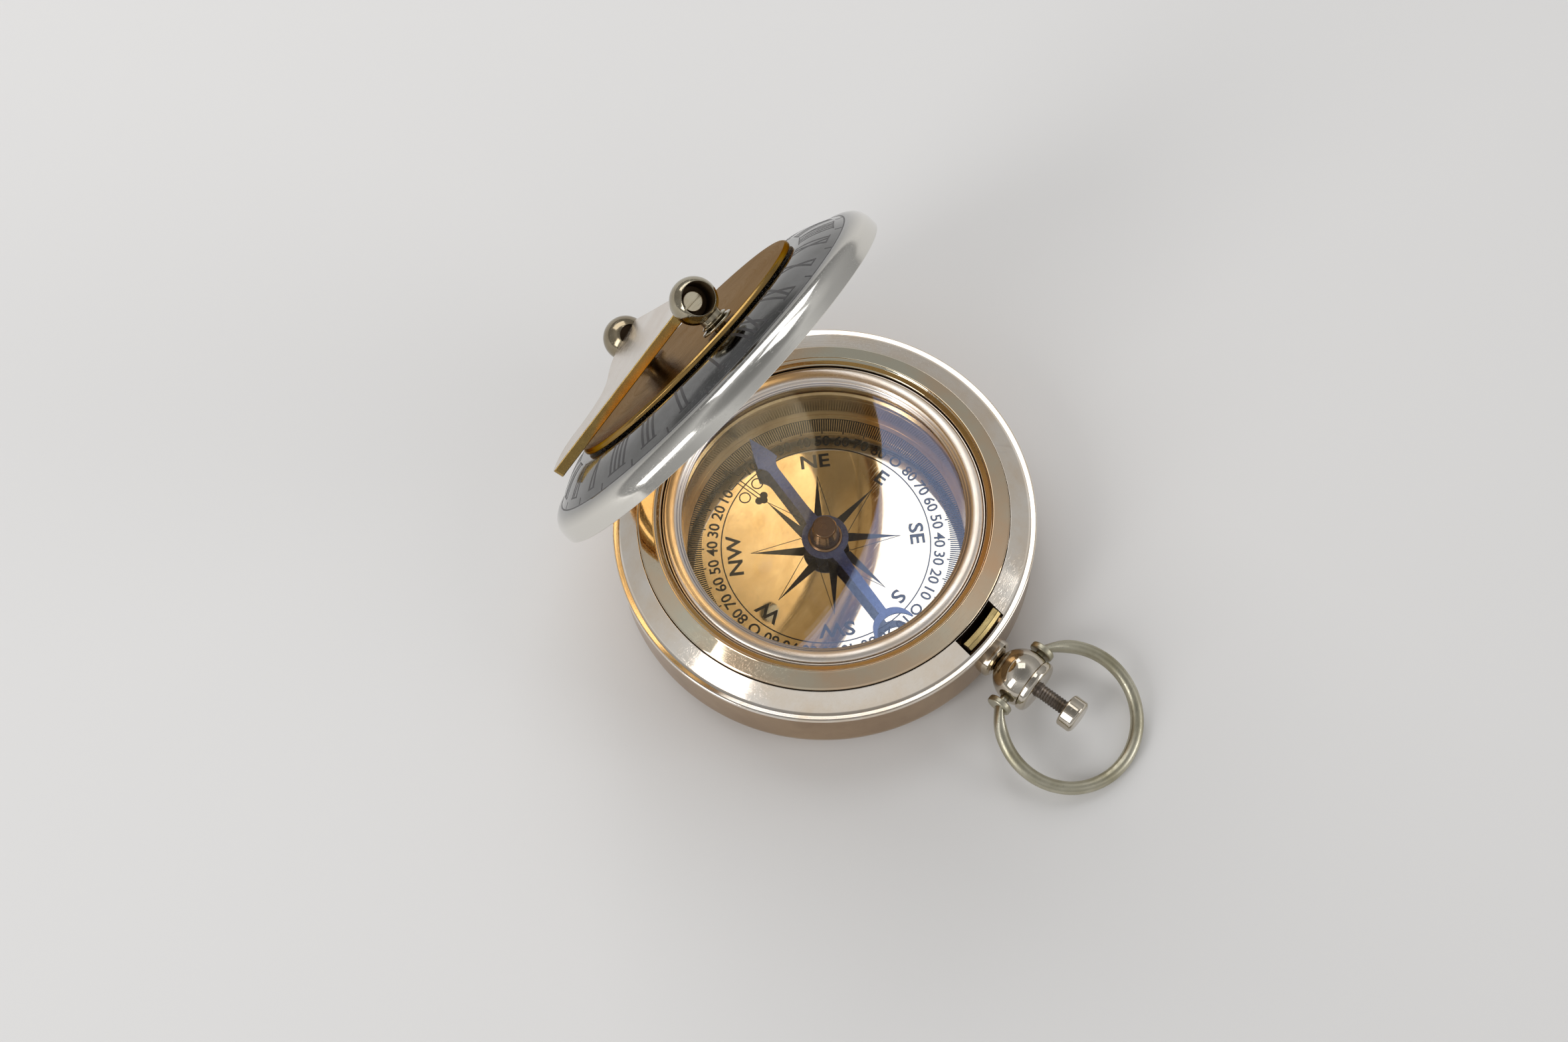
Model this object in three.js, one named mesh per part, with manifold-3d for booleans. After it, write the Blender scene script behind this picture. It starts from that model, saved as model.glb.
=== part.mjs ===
// Pocket sundial compass: a turned brass case with a glazed compass in its mouth, a sprung lid that
// carries an hour plate and a folding gnomon, and a pendant with push button and bow.
// Millimetres, +Z up. The origin is the centre of the flat bottom, the hinge lies toward +Y and the
// pendant toward -Y. The lid stands open on its stop, the gnomon is folded, the bow lies on the table.
import * as THREE from "three";
import { mergeVertices } from "three/addons/utils/BufferGeometryUtils.js";
import Module from "manifold-3d";

// Facets
const ringSteps = 48;
const smallSteps = 20;

// Clearances
const seatGap = 0.05;
const fitGap = 0.1;
const cutGap = 0.3;
const runGap = 0.07;

// Case cup
const caseRadius = 28.3;
const caseWall = 1.3;
const floorThickness = 1.4;
const cornerRadius = 4;
const cupHeight = 11.3;
const landWidth = 4;
const landHeight = 0.65;

// Rim: flange, sloping lid seat and the spigot that fits the cup
const flangeOverhang = 0.2;
const flangeThickness = 0.7;
const seatWidth = 2.7;
const seatRise = 1.55;
const spigotDepth = 3;
const lipDepth = 1.1;
const lipWidth = 0.65;

// Glass unit, with widths taken inward from the rim's bore
const bandWidth = 2.22;
const bandRise = 1;
const bandStep = 0.45;
const bandGroove = 1.03;
const bezelWidth = 2.63;
const bezelHeight = 1.25;
const glassLap = 0.75;
const glassThickness = 1;
const glassDrop = 1.75;
const spacerWall = 1.15;

// Dial and needle
const dialTop = 2.9;
const dialThickness = 0.8;
const postRadius = 0.6;
const postFootRadius = 0.9;
const needlePlane = 5.5;
const needleThickness = 0.3;
const needleInset = 1.5;
const arrowLength = 4.4;
const arrowWidth = 3.24;
const bladeWidth = 1.4;
const hubRadius = 3.2;
const crescentSetback = 1.9;
const crescentRadius = 3;
const crescentThickness = 1.1;
const capHeight = 3.75;
const capTopRadius = 1.66;
const capFootRadius = 2.05;
const capBore = 0.95;
const needleHeading = 16.5;

// Lid
const lidSetback = 0.56;
const lidWall = 0.6;
const lidLift = 0.3;
const shoulderWidth = 2.3;
const shoulderHeight = 3.86;
const crownSetback = 8.94;
const crownHeight = 6.1;
const flatDepth = 1.84;
const lidOpening = 62;
const plateSetback = 0.5;
const plateThickness = 0.7;

// Hinge
const hingeDrop = 1.6;
const barrelRadius = 1.15;
const hingePinRadius = 0.5;
const lidKnuckleWidth = 3.4;
const caseKnuckleWidth = 3.1;
const knuckleGap = 0.2;
const leafHeight = 3.6;

// Ball posts and gnomon
const ballRadius = 3;
const ballWeb = 1.2;
const postSetback = 3.1;
const postFoot = 2.3;
const postBead = 1.9;
const postNeck = 1.5;
const rivetRadius = 0.9;
const pinHeight = 4.4;
const counterbore = 1.9;
const pivotRadius = 0.4;
const pivotHeadRadius = 1.3;
const pivotHeadLength = 1.5;
const gnomonThickness = 1.4;
const gnomonContact = 5.8;
const gnomonLength = 22.4;
const gnomonBaseSetback = 1.9;
const pivotHoleDepth = 2.5;

// Pendant, button and latch
const stemRaise = 0.15;
const neckRadius = 2.7;
const neckLength = 1.25;
const neckTip = 1.4;
const pendantRadius = 3.85;
const pendantStandoff = 4.9;
const pendantFace = 2.8;
const collarRadius = 3.7;
const shaftRadius = 1;
const shaftCollarRadius = 1.5;
const shaftShown = 4.4;
const knobLength = 2.3;
const knobRadius = 2.3;
const buttonTravel = 0.9;
const latchThickness = 0.8;
const latchWidth = 6.4;
const latchStep = 0.9;
const latchReach = 0.45;
const latchEngagement = 0.3;
const catchThickness = 0.3;
const slotWidth = 7.2;
const slotClearance = 0.25;
const stripThickness = 0.5;
const stripHeight = 2.6;

// Bow
const bowRadius = 9.5;
const bowWire = 0.9;
const bowPivotRadius = 0.6;
const bowPivotSpan = 4.85;
const bowPivotDepth = 1.75;

// Worked out from the sizes above
const degrees = Math.PI / 180;
const flangeRadius = caseRadius + flangeOverhang;
const flangeTop = cupHeight + flangeThickness;
const cupBore = caseRadius - caseWall;
const stemHeight = cupHeight / 2 + stemRaise;
const spigotRadius = cupBore - fitGap;
const lidRadius = flangeRadius - lidSetback;
const seatTopRadius = lidRadius - 0.24 - seatWidth;
const rimBore = seatTopRadius - seatGap;
const capsuleRadius = rimBore - fitGap;
const bezelOuterRadius = capsuleRadius - bandWidth - bandGroove;
const bezelInnerRadius = bezelOuterRadius - bezelWidth;
const glassRadius = bezelOuterRadius - glassLap;
const spacerBore = glassRadius - spacerWall;
const needleReach = spacerBore - needleInset;
const crescentReach = needleReach - crescentSetback;
const lipTop = cupHeight - spigotDepth + lipDepth;
const bandTop = flangeTop + seatRise + bandStep + bandRise;
const glassTop = bandTop - glassDrop;
const dialRadius = glassRadius + fitGap;
const shoulderRadius = lidRadius - shoulderWidth;
const crownRadius = lidRadius - crownSetback;
const plateRadius = crownRadius - plateSetback;
const lidFlat = lidRadius - flatDepth;
const hingeY = lidFlat + cutGap;
const hingeZ = flangeTop - hingeDrop;
const lidBottom = flangeTop + lidLift - hingeZ;
const lidRise = flangeTop - hingeZ;
const crownOver = lidRise + crownHeight;
const plateUnder = crownOver + cutGap;
const plateOver = plateUnder + plateThickness;
const pinLevel = plateOver + pinHeight;
const pocketWidth = 2 * (caseKnuckleWidth + knuckleGap + cutGap) + lidKnuckleWidth;
const hingeWidth = pocketWidth - 2 * cutGap;
const pocketOuter = hingeY + barrelRadius + 0.1;
const pocketFloor = hingeZ - barrelRadius - 0.25;
const postOffset = plateRadius - postSetback;
const postInner = postOffset - ballRadius;
const gnomonHalfBase = postInner - cutGap;
const pendantCentre = caseRadius + pendantStandoff;
const pendantNeckEnd = pendantCentre - Math.sqrt(pendantRadius ** 2 - neckTip ** 2);
const knobStart = pendantCentre + pendantFace + shaftShown;
const slotInnerRadius = rimBore + seatGap;
const latchRadius = slotInnerRadius + fitGap + buttonTravel + latchThickness;
const slotOuterRadius = latchRadius + latchReach + slotClearance;
const bowReach = Math.sqrt(bowRadius ** 2 - bowPivotSpan ** 2);
const bowDrop = Math.asin((stemHeight - bowWire - seatGap) / (bowReach + bowRadius));

const wasm = await Module();
wasm.setup();

// The closed mesh as a solid that can be joined and cut
function solid(geometry) {
  const bare = geometry.clone();
  bare.deleteAttribute("normal");
  bare.deleteAttribute("uv");
  const merged = mergeVertices(bare, 1e-4);
  const index = merged.index.array;
  const triangles = [];
  for (let i = 0; i < index.length; i += 3) {
    const [a, b, c] = [index[i], index[i + 1], index[i + 2]];
    if (a !== b && b !== c && c !== a) triangles.push(a, b, c);
  }
  return new wasm.Manifold(new wasm.Mesh({
    numProp: 3,
    vertProperties: new Float32Array(merged.attributes.position.array),
    triVerts: new Uint32Array(triangles),
  }));
}

function surface(body) {
  const mesh = body.getMesh();
  const geometry = new THREE.BufferGeometry();
  geometry.setAttribute("position", new THREE.BufferAttribute(new Float32Array(mesh.vertProperties), 3));
  geometry.setIndex([...mesh.triVerts]);
  const flat = geometry.toNonIndexed();
  flat.computeVertexNormals();
  return flat;
}

function cut(geometry, ...tools) {
  let body = solid(geometry);
  for (const tool of tools) body = body.subtract(solid(tool));
  return surface(body);
}

function fuse(...geometries) {
  let body = solid(geometries[0]);
  for (const geometry of geometries.slice(1)) body = body.add(solid(geometry));
  return surface(body);
}

function common(geometry, other) {
  return surface(solid(geometry).intersect(solid(other)));
}

// A turned piece about Z. Points are [radius, height], anticlockwise, open only along the axis.
function turned(points, steps = ringSteps) {
  const profile = points.map(([r, z]) => new THREE.Vector2(r, z));
  if (points[0][0] > 0) profile.push(profile[0].clone());
  return new THREE.LatheGeometry(profile, steps).rotateX(Math.PI / 2);
}

// Points on a circle of a profile, from one angle to another in degrees
function arc(x, y, radius, from, to, steps) {
  return Array.from({ length: steps + 1 }, (_, i) => {
    const angle = (from + ((to - from) * i) / steps) * degrees;
    return [x + radius * Math.cos(angle), y + radius * Math.sin(angle)];
  });
}

// A turned piece about a line along -Y at the height of the stem
function onStem(points, steps = smallSteps) {
  return turned(points, steps).rotateX(Math.PI / 2).translate(0, 0, stemHeight);
}

function rod(radius, length, steps = smallSteps) {
  return new THREE.CylinderGeometry(radius, radius, length, steps);
}

function rodX(radius, length, steps = smallSteps) {
  return rod(radius, length, steps).rotateZ(Math.PI / 2);
}

// A box given by its low and high corners
function block(low, high) {
  const size = high.map((value, i) => value - low[i]);
  return new THREE.BoxGeometry(...size).translate(...low.map((value, i) => value + size[i] / 2));
}

function plate(outline, thickness) {
  return new THREE.ExtrudeGeometry(outline, { depth: thickness, bevelEnabled: false, curveSegments: 10 });
}

// A strip bent round Z between two angles in degrees
function bentStrip(inner, outer, from, to, low, high, steps = 16) {
  const points = [...arc(0, 0, outer, from, to, steps), ...arc(0, 0, inner, to, from, steps)];
  return plate(new THREE.Shape(points.map(([x, y]) => new THREE.Vector2(x, y))), high - low).translate(0, 0, low);
}

const finishes = {
  paleBrass: { color: 0xd9cda8, roughness: 0.15, metalness: 1 },
  dialBrass: { color: 0xe3d6ae, roughness: 0.08, metalness: 1 },
  goldBrass: { color: 0xc9a45a, roughness: 0.25, metalness: 1 },
  dullBrass: { color: 0xa39a72, roughness: 0.45, metalness: 1 },
  blueSteel: { color: 0x4a6aa5, roughness: 0.25, metalness: 1 },
  bronze: { color: 0x8a5a3c, roughness: 0.35, metalness: 1 },
  darkSteel: { color: 0x4a463f, roughness: 0.5, metalness: 1 },
  clearGlass: { color: 0xffffff, roughness: 0, metalness: 0, transparent: true, opacity: 0.2 },
};

function piece(name, geometry, finish) {
  const mesh = new THREE.Mesh(geometry, new THREE.MeshStandardMaterial(finishes[finish]));
  mesh.name = name;
  return mesh;
}

// Outline of the case's outside, grown by a gap, which also trims the neck to the wall
function caseOutside(gap) {
  return [
    [0, -gap],
    ...arc(caseRadius - cornerRadius, cornerRadius, cornerRadius + gap, -90, 0, 6),
  ];
}

function caseCup() {
  const landOuter = dialRadius + 0.5;
  const landTop = floorThickness + landHeight;
  const inside = cornerRadius - floorThickness;
  const body = turned([
    ...caseOutside(0),
    [caseRadius, cupHeight],
    [cupBore, cupHeight],
    ...arc(cupBore - inside, floorThickness + inside, inside, 0, -90, 4),
    [landOuter, floorThickness],
    [landOuter, landTop],
    [landOuter - landWidth, landTop],
    [landOuter - landWidth, floorThickness],
    [postFootRadius + 1.6, floorThickness],
    [postFootRadius + 1.6, landTop],
    [postFootRadius + 0.1, landTop],
    [postFootRadius + 0.1, floorThickness - 0.4],
    [0, floorThickness - 0.4],
  ]);
  const half = pocketWidth / 2;
  const innerPocket = block([-half, hingeY - 3, pocketFloor], [half, pocketOuter, flangeTop + 1]);
  const outerPocket = block([-half, pocketOuter - 0.01, stopLedge()], [half, flangeRadius + 1, flangeTop + 1]);
  const shaftHole = onStem([[0, cupBore - 1], [shaftRadius + runGap + 0.01, cupBore - 1],
    [shaftRadius + runGap + 0.01, caseRadius + 1], [0, caseRadius + 1]]);
  return cut(body, innerPocket, outerPocket, shaftHole);
}

// Height of the wall's edge under the open lid's leaf: the leaf comes to rest on it
function stopLedge() {
  const angle = lidOpening * degrees;
  const out = pocketOuter - hingeY;
  const along = (out - barrelRadius * Math.cos(angle)) / Math.sin(angle);
  return hingeZ - barrelRadius * Math.sin(angle) + along * Math.cos(angle) - seatGap;
}

function caseRim() {
  const bottom = cupHeight - spigotDepth;
  const seatTop = flangeTop + seatRise;
  const body = turned([
    [rimBore - lipWidth, bottom],
    [spigotRadius, bottom],
    [spigotRadius, cupHeight + seatGap],
    [flangeRadius, cupHeight + seatGap],
    [flangeRadius, flangeTop - 0.2],
    [flangeRadius - 0.2, flangeTop],
    [seatTopRadius + seatWidth, flangeTop],
    [seatTopRadius, seatTop],
    [rimBore, seatTop],
    [rimBore, lipTop],
    [rimBore - lipWidth, lipTop],
  ]);
  const half = pocketWidth / 2;
  const pocket = block([-half, rimBore + seatGap, pocketFloor], [half, flangeRadius + 1, bandTop]);
  const flat = block([-flangeRadius, rimBore + 0.2, cupHeight - 0.01], [flangeRadius, flangeRadius + 1, bandTop]);
  const slotRing = turned([[slotInnerRadius, bottom - 1], [slotOuterRadius, bottom - 1],
    [slotOuterRadius, bandTop], [slotInnerRadius, bandTop]]);
  const slot = common(slotRing, block([-slotWidth / 2, -flangeRadius, bottom - 2], [slotWidth / 2, 0, bandTop + 1]));
  return cut(body, pocket, flat, slot);
}

function capsuleRing() {
  const outer = capsuleRadius;
  const bandFoot = bandTop - bandRise;
  const bore = bezelOuterRadius + 0.1;
  const floor = lipTop + seatGap;
  const ledge = glassTop - glassThickness + 0.1;
  return turned([
    [glassRadius + 0.25, floor],
    [outer, floor],
    [outer, bandFoot - 0.1],
    [outer - 0.15, bandFoot],
    [outer - bandWidth + 0.12, bandTop - 0.03],
    [outer - bandWidth, bandTop],
    [outer - bandWidth - 0.12, bandTop - 0.08],
    [outer - bandWidth - 0.28, bandTop - 0.28],
    [bore + 0.08, bandTop - 0.5],
    [bore, bandTop - 0.62],
    [bore, ledge],
    [glassRadius + 0.25, ledge],
  ]);
}

function bezelRing() {
  const under = glassTop + seatGap;
  const crest = under + bezelHeight;
  const crestRadius = bezelInnerRadius + 1.35;
  return turned([
    [bezelInnerRadius + 0.08, under],
    [glassRadius + 0.1, under],
    [glassRadius + 0.1, glassTop - glassThickness + 0.2],
    [bezelOuterRadius, glassTop - glassThickness + 0.2],
    [bezelOuterRadius, crest - 0.5],
    [bezelOuterRadius - 0.2, crest - 0.36],
    [crestRadius + 0.7, crest - 0.08],
    [crestRadius, crest],
    [crestRadius - 0.65, crest - 0.18],
    [crestRadius - 1.1, crest - 0.6],
    [bezelInnerRadius, under + 0.2],
  ]);
}

function glassDisc() {
  const low = glassTop - glassThickness;
  return turned([[0, low], [glassRadius, low], [glassRadius, glassTop - 0.2],
    [glassRadius - 0.2, glassTop], [0, glassTop]]);
}

// Turned inner wall: three steps that widen toward the glass
function spacerRing() {
  const low = dialTop + seatGap;
  const high = glassTop - glassThickness - seatGap;
  const rise = (high - low) / 3;
  return turned([
    [spacerBore, low],
    [glassRadius, low],
    [glassRadius, high],
    [spacerBore + 0.7, high],
    [spacerBore + 0.7, low + 2.6 * rise],
    [spacerBore + 0.4, low + 2.5 * rise],
    [spacerBore + 0.4, low + 2.1 * rise],
    [spacerBore, low + 2 * rise],
  ]);
}

function dialPlate() {
  const low = dialTop - dialThickness;
  const hole = postFootRadius + 0.1;
  return turned([[hole, low], [dialRadius, low], [dialRadius, dialTop], [hole, dialTop]]);
}

function pivotPost() {
  const tip = needlePlane + capHeight - 1.2;
  return turned([
    [0, floorThickness - 0.4 + seatGap],
    [postFootRadius, floorThickness - 0.4 + seatGap],
    [postFootRadius, dialTop + seatGap],
    [postFootRadius + 0.8, dialTop + seatGap],
    [postFootRadius + 0.8, dialTop + 0.4],
    [postRadius, dialTop + 0.7],
    [postRadius, needlePlane + 1],
    [0, tip],
  ], smallSteps);
}

// Blued needle: arrowhead, blade, hub disc and a crescent at the tail, pierced for the cap
function needlePlate() {
  const back = needleReach - arrowLength;
  const half = bladeWidth / 2;
  const flare = hubRadius + 2.8;
  const arrow = new THREE.Shape();
  arrow.moveTo(0, needleReach);
  arrow.quadraticCurveTo(-arrowWidth / 2 + 0.5, back + 2, -arrowWidth / 2, back);
  arrow.quadraticCurveTo(-half - 0.1, back - 0.5, -half, back - 1.6);
  arrow.lineTo(-half, flare);
  arrow.quadraticCurveTo(-half - 0.05, flare - 2, -half - 0.5, flare - 4);
  arrow.lineTo(half + 0.5, flare - 4);
  arrow.quadraticCurveTo(half + 0.05, flare - 2, half, flare);
  arrow.lineTo(half, back - 1.6);
  arrow.quadraticCurveTo(half + 0.1, back - 0.5, arrowWidth / 2, back);
  arrow.quadraticCurveTo(arrowWidth / 2 - 0.5, back + 2, 0, needleReach);

  const tail = new THREE.Shape();
  const join = crescentReach - crescentRadius + 0.4;
  tail.moveTo(-half - 0.4, 4 - flare);
  tail.quadraticCurveTo(-half, 2 - flare, -half, -flare);
  tail.lineTo(-half + 0.1, -join);
  tail.lineTo(half - 0.1, -join);
  tail.lineTo(half, -flare);
  tail.quadraticCurveTo(half, 2 - flare, half + 0.4, 4 - flare);

  const horn = 10 * degrees;
  const hornX = crescentRadius * Math.cos(horn);
  const hornY = -crescentReach - crescentRadius * Math.sin(horn);
  const throat = -crescentReach + crescentRadius - crescentThickness;
  const sagitta = throat - hornY;
  const innerRadius = (hornX ** 2 + sagitta ** 2) / (2 * sagitta);
  const innerY = throat - innerRadius;
  const innerHorn = Math.atan2(hornY - innerY, hornX) / degrees;
  const outline = [
    ...arc(0, -crescentReach, crescentRadius, -10, 190, 16),
    ...arc(0, innerY, innerRadius, 180 - innerHorn, innerHorn, 14).slice(1, -1),
  ];
  const crescent = new THREE.Shape(outline.map(([x, y]) => new THREE.Vector2(x, y)));

  const hub = rod(hubRadius, needleThickness, 32).rotateX(Math.PI / 2).translate(0, 0, needleThickness / 2);
  const eye = rod(capBore + 0.4, 2, smallSteps).rotateX(Math.PI / 2);
  const whole = fuse(hub, plate(arrow, needleThickness), plate(tail, needleThickness), plate(crescent, needleThickness));
  return cut(whole, eye).translate(0, 0, -needleThickness / 2);
}

// Cap with a blind conical bearing that hangs on the post's point; heights from the needle's plane
function needleCap() {
  const under = -needleThickness / 2 - 0.1;
  const seat = needleThickness / 2 + seatGap;
  return turned([
    [0, capHeight - 1.1],
    [capBore, 1.3],
    [capBore, under],
    [capBore + 0.3, under],
    [capBore + 0.3, seat],
    [capFootRadius + 0.3, seat],
    [capFootRadius + 0.3, seat + 0.2],
    [capFootRadius, seat + 0.35],
    [capTopRadius, capHeight - 0.15],
    [capTopRadius - 0.15, capHeight],
    [0, capHeight],
  ], smallSteps);
}

function needleBody() {
  const body = new THREE.Group();
  body.add(piece("needle", needlePlate(), "blueSteel"), piece("needle_cap", needleCap(), "bronze"));
  body.position.z = needlePlane;
  body.rotation.z = -needleHeading * degrees;
  return body;
}

// Case knuckle with a foot that stands on the pocket's floor
function caseKnuckle(side) {
  const inner = lidKnuckleWidth / 2 + knuckleGap;
  const centre = side * (inner + caseKnuckleWidth / 2);
  const barrel = rodX(barrelRadius, caseKnuckleWidth).translate(centre, hingeY, hingeZ);
  const foot = block([centre - caseKnuckleWidth / 2, hingeY - barrelRadius, pocketFloor + seatGap],
    [centre + caseKnuckleWidth / 2, hingeY + barrelRadius, hingeZ]);
  const bore = rodX(hingePinRadius + runGap, caseKnuckleWidth + 2).translate(centre, hingeY, hingeZ);
  return cut(fuse(barrel, foot), bore);
}

// Lid knuckle with a leaf that lies on the outside of the lid's flat
function lidKnuckle() {
  const half = lidKnuckleWidth / 2;
  const inner = lidFlat + cutGap - hingeY;
  const barrel = rodX(barrelRadius, lidKnuckleWidth);
  const leaf = new THREE.Shape();
  leaf.moveTo(Math.max(inner, -barrelRadius), 0);
  leaf.lineTo(barrelRadius, 0);
  leaf.lineTo(barrelRadius, leafHeight - 1.2);
  leaf.quadraticCurveTo(barrelRadius, leafHeight, inner, leafHeight);
  const solidLeaf = plate(leaf, lidKnuckleWidth).rotateX(Math.PI / 2).rotateZ(Math.PI / 2).translate(-half, 0, 0);
  const bore = rodX(hingePinRadius + runGap, lidKnuckleWidth + 2);
  return cut(fuse(barrel, solidLeaf), bore);
}

// Lid's outside or inside profile, closed on the axis, in heights from the hinge
function lidProfile(offset, bottom) {
  const outer = lidRadius - offset;
  const line = shoulderRadius - offset * 0.4;
  const shoulder = lidRise + shoulderHeight - offset;
  const crown = crownOver - offset;
  const low = lidBottom + 1.1;
  const curve = Array.from({ length: 6 }, (_, i) => {
    const t = ((i + 1) / 6) * 90 * degrees;
    return [line + (outer - line) * Math.cos(t), low + (shoulder - low) * Math.sin(t)];
  });
  const dome = [0.3, 0.65, 1].map((t) => [
    line + (crownRadius - line) * t,
    shoulder + (crown - shoulder) * Math.sin(t * 90 * degrees),
  ]);
  return [[0, bottom], [outer, bottom], [outer, low], ...curve, ...dome, [0, crown]];
}

function lidShell() {
  const outside = turned(lidProfile(0, lidBottom));
  const inside = turned(lidProfile(lidWall, lidBottom - 1));
  const reach = lidRadius + 2;
  const keepOutside = block([-reach, -reach, -5], [reach, lidFlat, 20]);
  const keepInside = block([-reach, -reach, -5], [reach, lidFlat - lidWall, 20]);
  const lipRadius = latchRadius + latchReach - latchEngagement;
  const lipRing = turned([[lipRadius, lidBottom + 0.08], [lidRadius - lidWall / 2, lidBottom + 0.08],
    [lidRadius - lidWall / 2, lidBottom + 0.08 + catchThickness], [lipRadius, lidBottom + 0.08 + catchThickness]]);
  const lip = common(lipRing, block([-latchWidth / 2 + 0.2, -reach, 0], [latchWidth / 2 - 0.2, 0, 10]));
  const bevel = turned([[0, lidBottom - 1], [lidRadius - 0.2, lidBottom - 1], [lidRadius - 0.2, lidBottom],
    [lidRadius - lidWall, lidBottom + 0.45], [0, lidBottom + 0.45]]);
  const tail = rod(rivetRadius + cutGap, 10).rotateX(Math.PI / 2);
  const holes = [-1, 1].map((side) => tail.clone().translate(0, side * postOffset, crownOver));
  let shell = solid(common(outside, keepOutside)).subtract(solid(common(inside, keepInside)));
  shell = shell.subtract(solid(common(bevel, keepInside)));
  shell = shell.add(solid(lip));
  for (const hole of holes) shell = shell.subtract(solid(hole));
  return surface(shell).translate(0, -hingeY, 0);
}

function hourPlate() {
  const disc = turned([[0, plateUnder], [plateRadius, plateUnder], [plateRadius, plateOver - 0.25],
    [plateRadius - 0.25, plateOver], [0, plateOver]]);
  const tail = rod(rivetRadius + cutGap, 10).rotateX(Math.PI / 2);
  return cut(disc, ...[-1, 1].map((side) => tail.clone().translate(0, side * postOffset, plateUnder)));
}

// Ball post: ringed neck, ball drilled for the pivot screw, and a tail riveted inside the lid
function ballPost(side) {
  const foot = plateOver + cutGap;
  const under = crownOver - lidWall - cutGap;
  const neckTop = pinLevel - Math.sqrt(ballRadius ** 2 - postNeck ** 2);
  const body = turned([
    [0, under - 0.4],
    [rivetRadius + 0.5, under - 0.4],
    [rivetRadius + 0.7, under],
    [rivetRadius, under],
    [rivetRadius, foot],
    [postFoot, foot],
    [postFoot, foot + 0.35],
    [postNeck, foot + 0.45],
    [postBead, foot + 0.7],
    [postNeck, neckTop],
    ...arc(0, pinLevel, ballRadius, -54, 90, 9).slice(1, -1),
    [0, pinLevel + ballRadius],
  ], smallSteps).translate(0, side * postOffset, 0);
  const web = postInner + ballWeb;
  const recess = rod(counterbore, 8).translate(0, side * (web + 4), pinLevel);
  const pivotHole = rod(pivotRadius + runGap, 10).translate(0, side * (web - 1), pinLevel);
  return cut(body, recess, pivotHole);
}

// Pivot screw: a head sunk in the ball and a thin shank that reaches into the gnomon's edge
function pivotScrew(side) {
  const web = postInner + ballWeb + seatGap;
  const end = gnomonHalfBase - pivotHoleDepth + cutGap;
  const head = rod(pivotHeadRadius, pivotHeadLength).translate(0, side * (web + pivotHeadLength / 2), pinLevel);
  const shank = rod(pivotRadius, web + 0.5 - end).translate(0, side * (web + 0.5 + end) / 2, pinLevel);
  return fuse(head, shank);
}

// Fold of the gnomon: the angle below level at which its underside meets the hour plate's edge
function gnomonFold() {
  const across = Math.sqrt(plateRadius ** 2 - gnomonContact ** 2);
  const drop = pinHeight - cutGap;
  return Math.atan2(drop, across) - Math.asin(gnomonThickness / 2 / Math.hypot(drop, across));
}

// Gnomon outline: x runs out from the pivots, y along them toward the free end of the lid. The curved
// edges are drawn for a plate 22.4 long on a half base of 12.1, and stretched to the sizes above.
function gnomonOutline() {
  const back = -gnomonBaseSetback;
  const half = gnomonHalfBase;
  const out = (x) => (x * gnomonLength) / 22.4;
  const along = (y) => (y * half) / 12.1;
  const shape = new THREE.Shape();
  shape.moveTo(back + 0.6, -half);
  shape.lineTo(out(3.2), -half);
  shape.quadraticCurveTo(out(5.2), along(-11.1), out(7), along(-8.7));
  shape.quadraticCurveTo(out(9.6), along(-4.6), out(11.5), along(-4.7));
  shape.quadraticCurveTo(out(14), along(-5), out(16), along(-7));
  shape.quadraticCurveTo(out(18.2), along(-8.9), out(19.8), along(-8.2));
  shape.quadraticCurveTo(out(22), along(-7.4), gnomonLength, along(-6.2));
  shape.quadraticCurveTo(gnomonLength, along(-5.7), out(21.8), along(-5.5));
  shape.lineTo(out(3), along(10.9));
  shape.quadraticCurveTo(out(2), half, out(0.8), half);
  shape.lineTo(back + 0.6, half);
  shape.quadraticCurveTo(back, half, back, half - 0.6);
  shape.lineTo(back, -half + 0.6);
  shape.quadraticCurveTo(back, -half, back + 0.6, -half);
  return shape;
}

function gnomonPlate() {
  const body = plate(gnomonOutline(), gnomonThickness).translate(0, 0, -gnomonThickness / 2);
  const depth = pivotHoleDepth + 1;
  const holes = [-1, 1].map((side) => rod(pivotRadius + runGap, depth)
    .translate(0, side * (gnomonHalfBase - pivotHoleDepth + depth / 2), 0));
  return cut(body, ...holes);
}

function gnomonBody() {
  const outline = piece("gnomon", gnomonPlate(), "goldBrass");
  outline.rotation.z = Math.PI;
  const body = new THREE.Group();
  body.add(outline);
  body.position.set(0, -hingeY, pinLevel);
  body.rotation.y = -gnomonFold();
  return body;
}

function lidBody() {
  const body = new THREE.Group();
  const lifted = (geometry) => geometry.translate(0, -hingeY, 0);
  body.add(
    piece("lid_shell", lidShell(), "paleBrass"),
    piece("lid_knuckle", lidKnuckle(), "paleBrass"),
    piece("hour_plate", lifted(hourPlate()), "paleBrass"),
    piece("post_near", lifted(ballPost(-1)), "dullBrass"),
    piece("post_far", lifted(ballPost(1)), "dullBrass"),
    piece("pivot_screw_near", lifted(pivotScrew(-1)), "goldBrass"),
    piece("pivot_screw_far", lifted(pivotScrew(1)), "goldBrass"),
    gnomonBody(),
  );
  body.position.set(0, hingeY, hingeZ);
  body.rotation.x = -lidOpening * degrees;
  return body;
}

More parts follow.
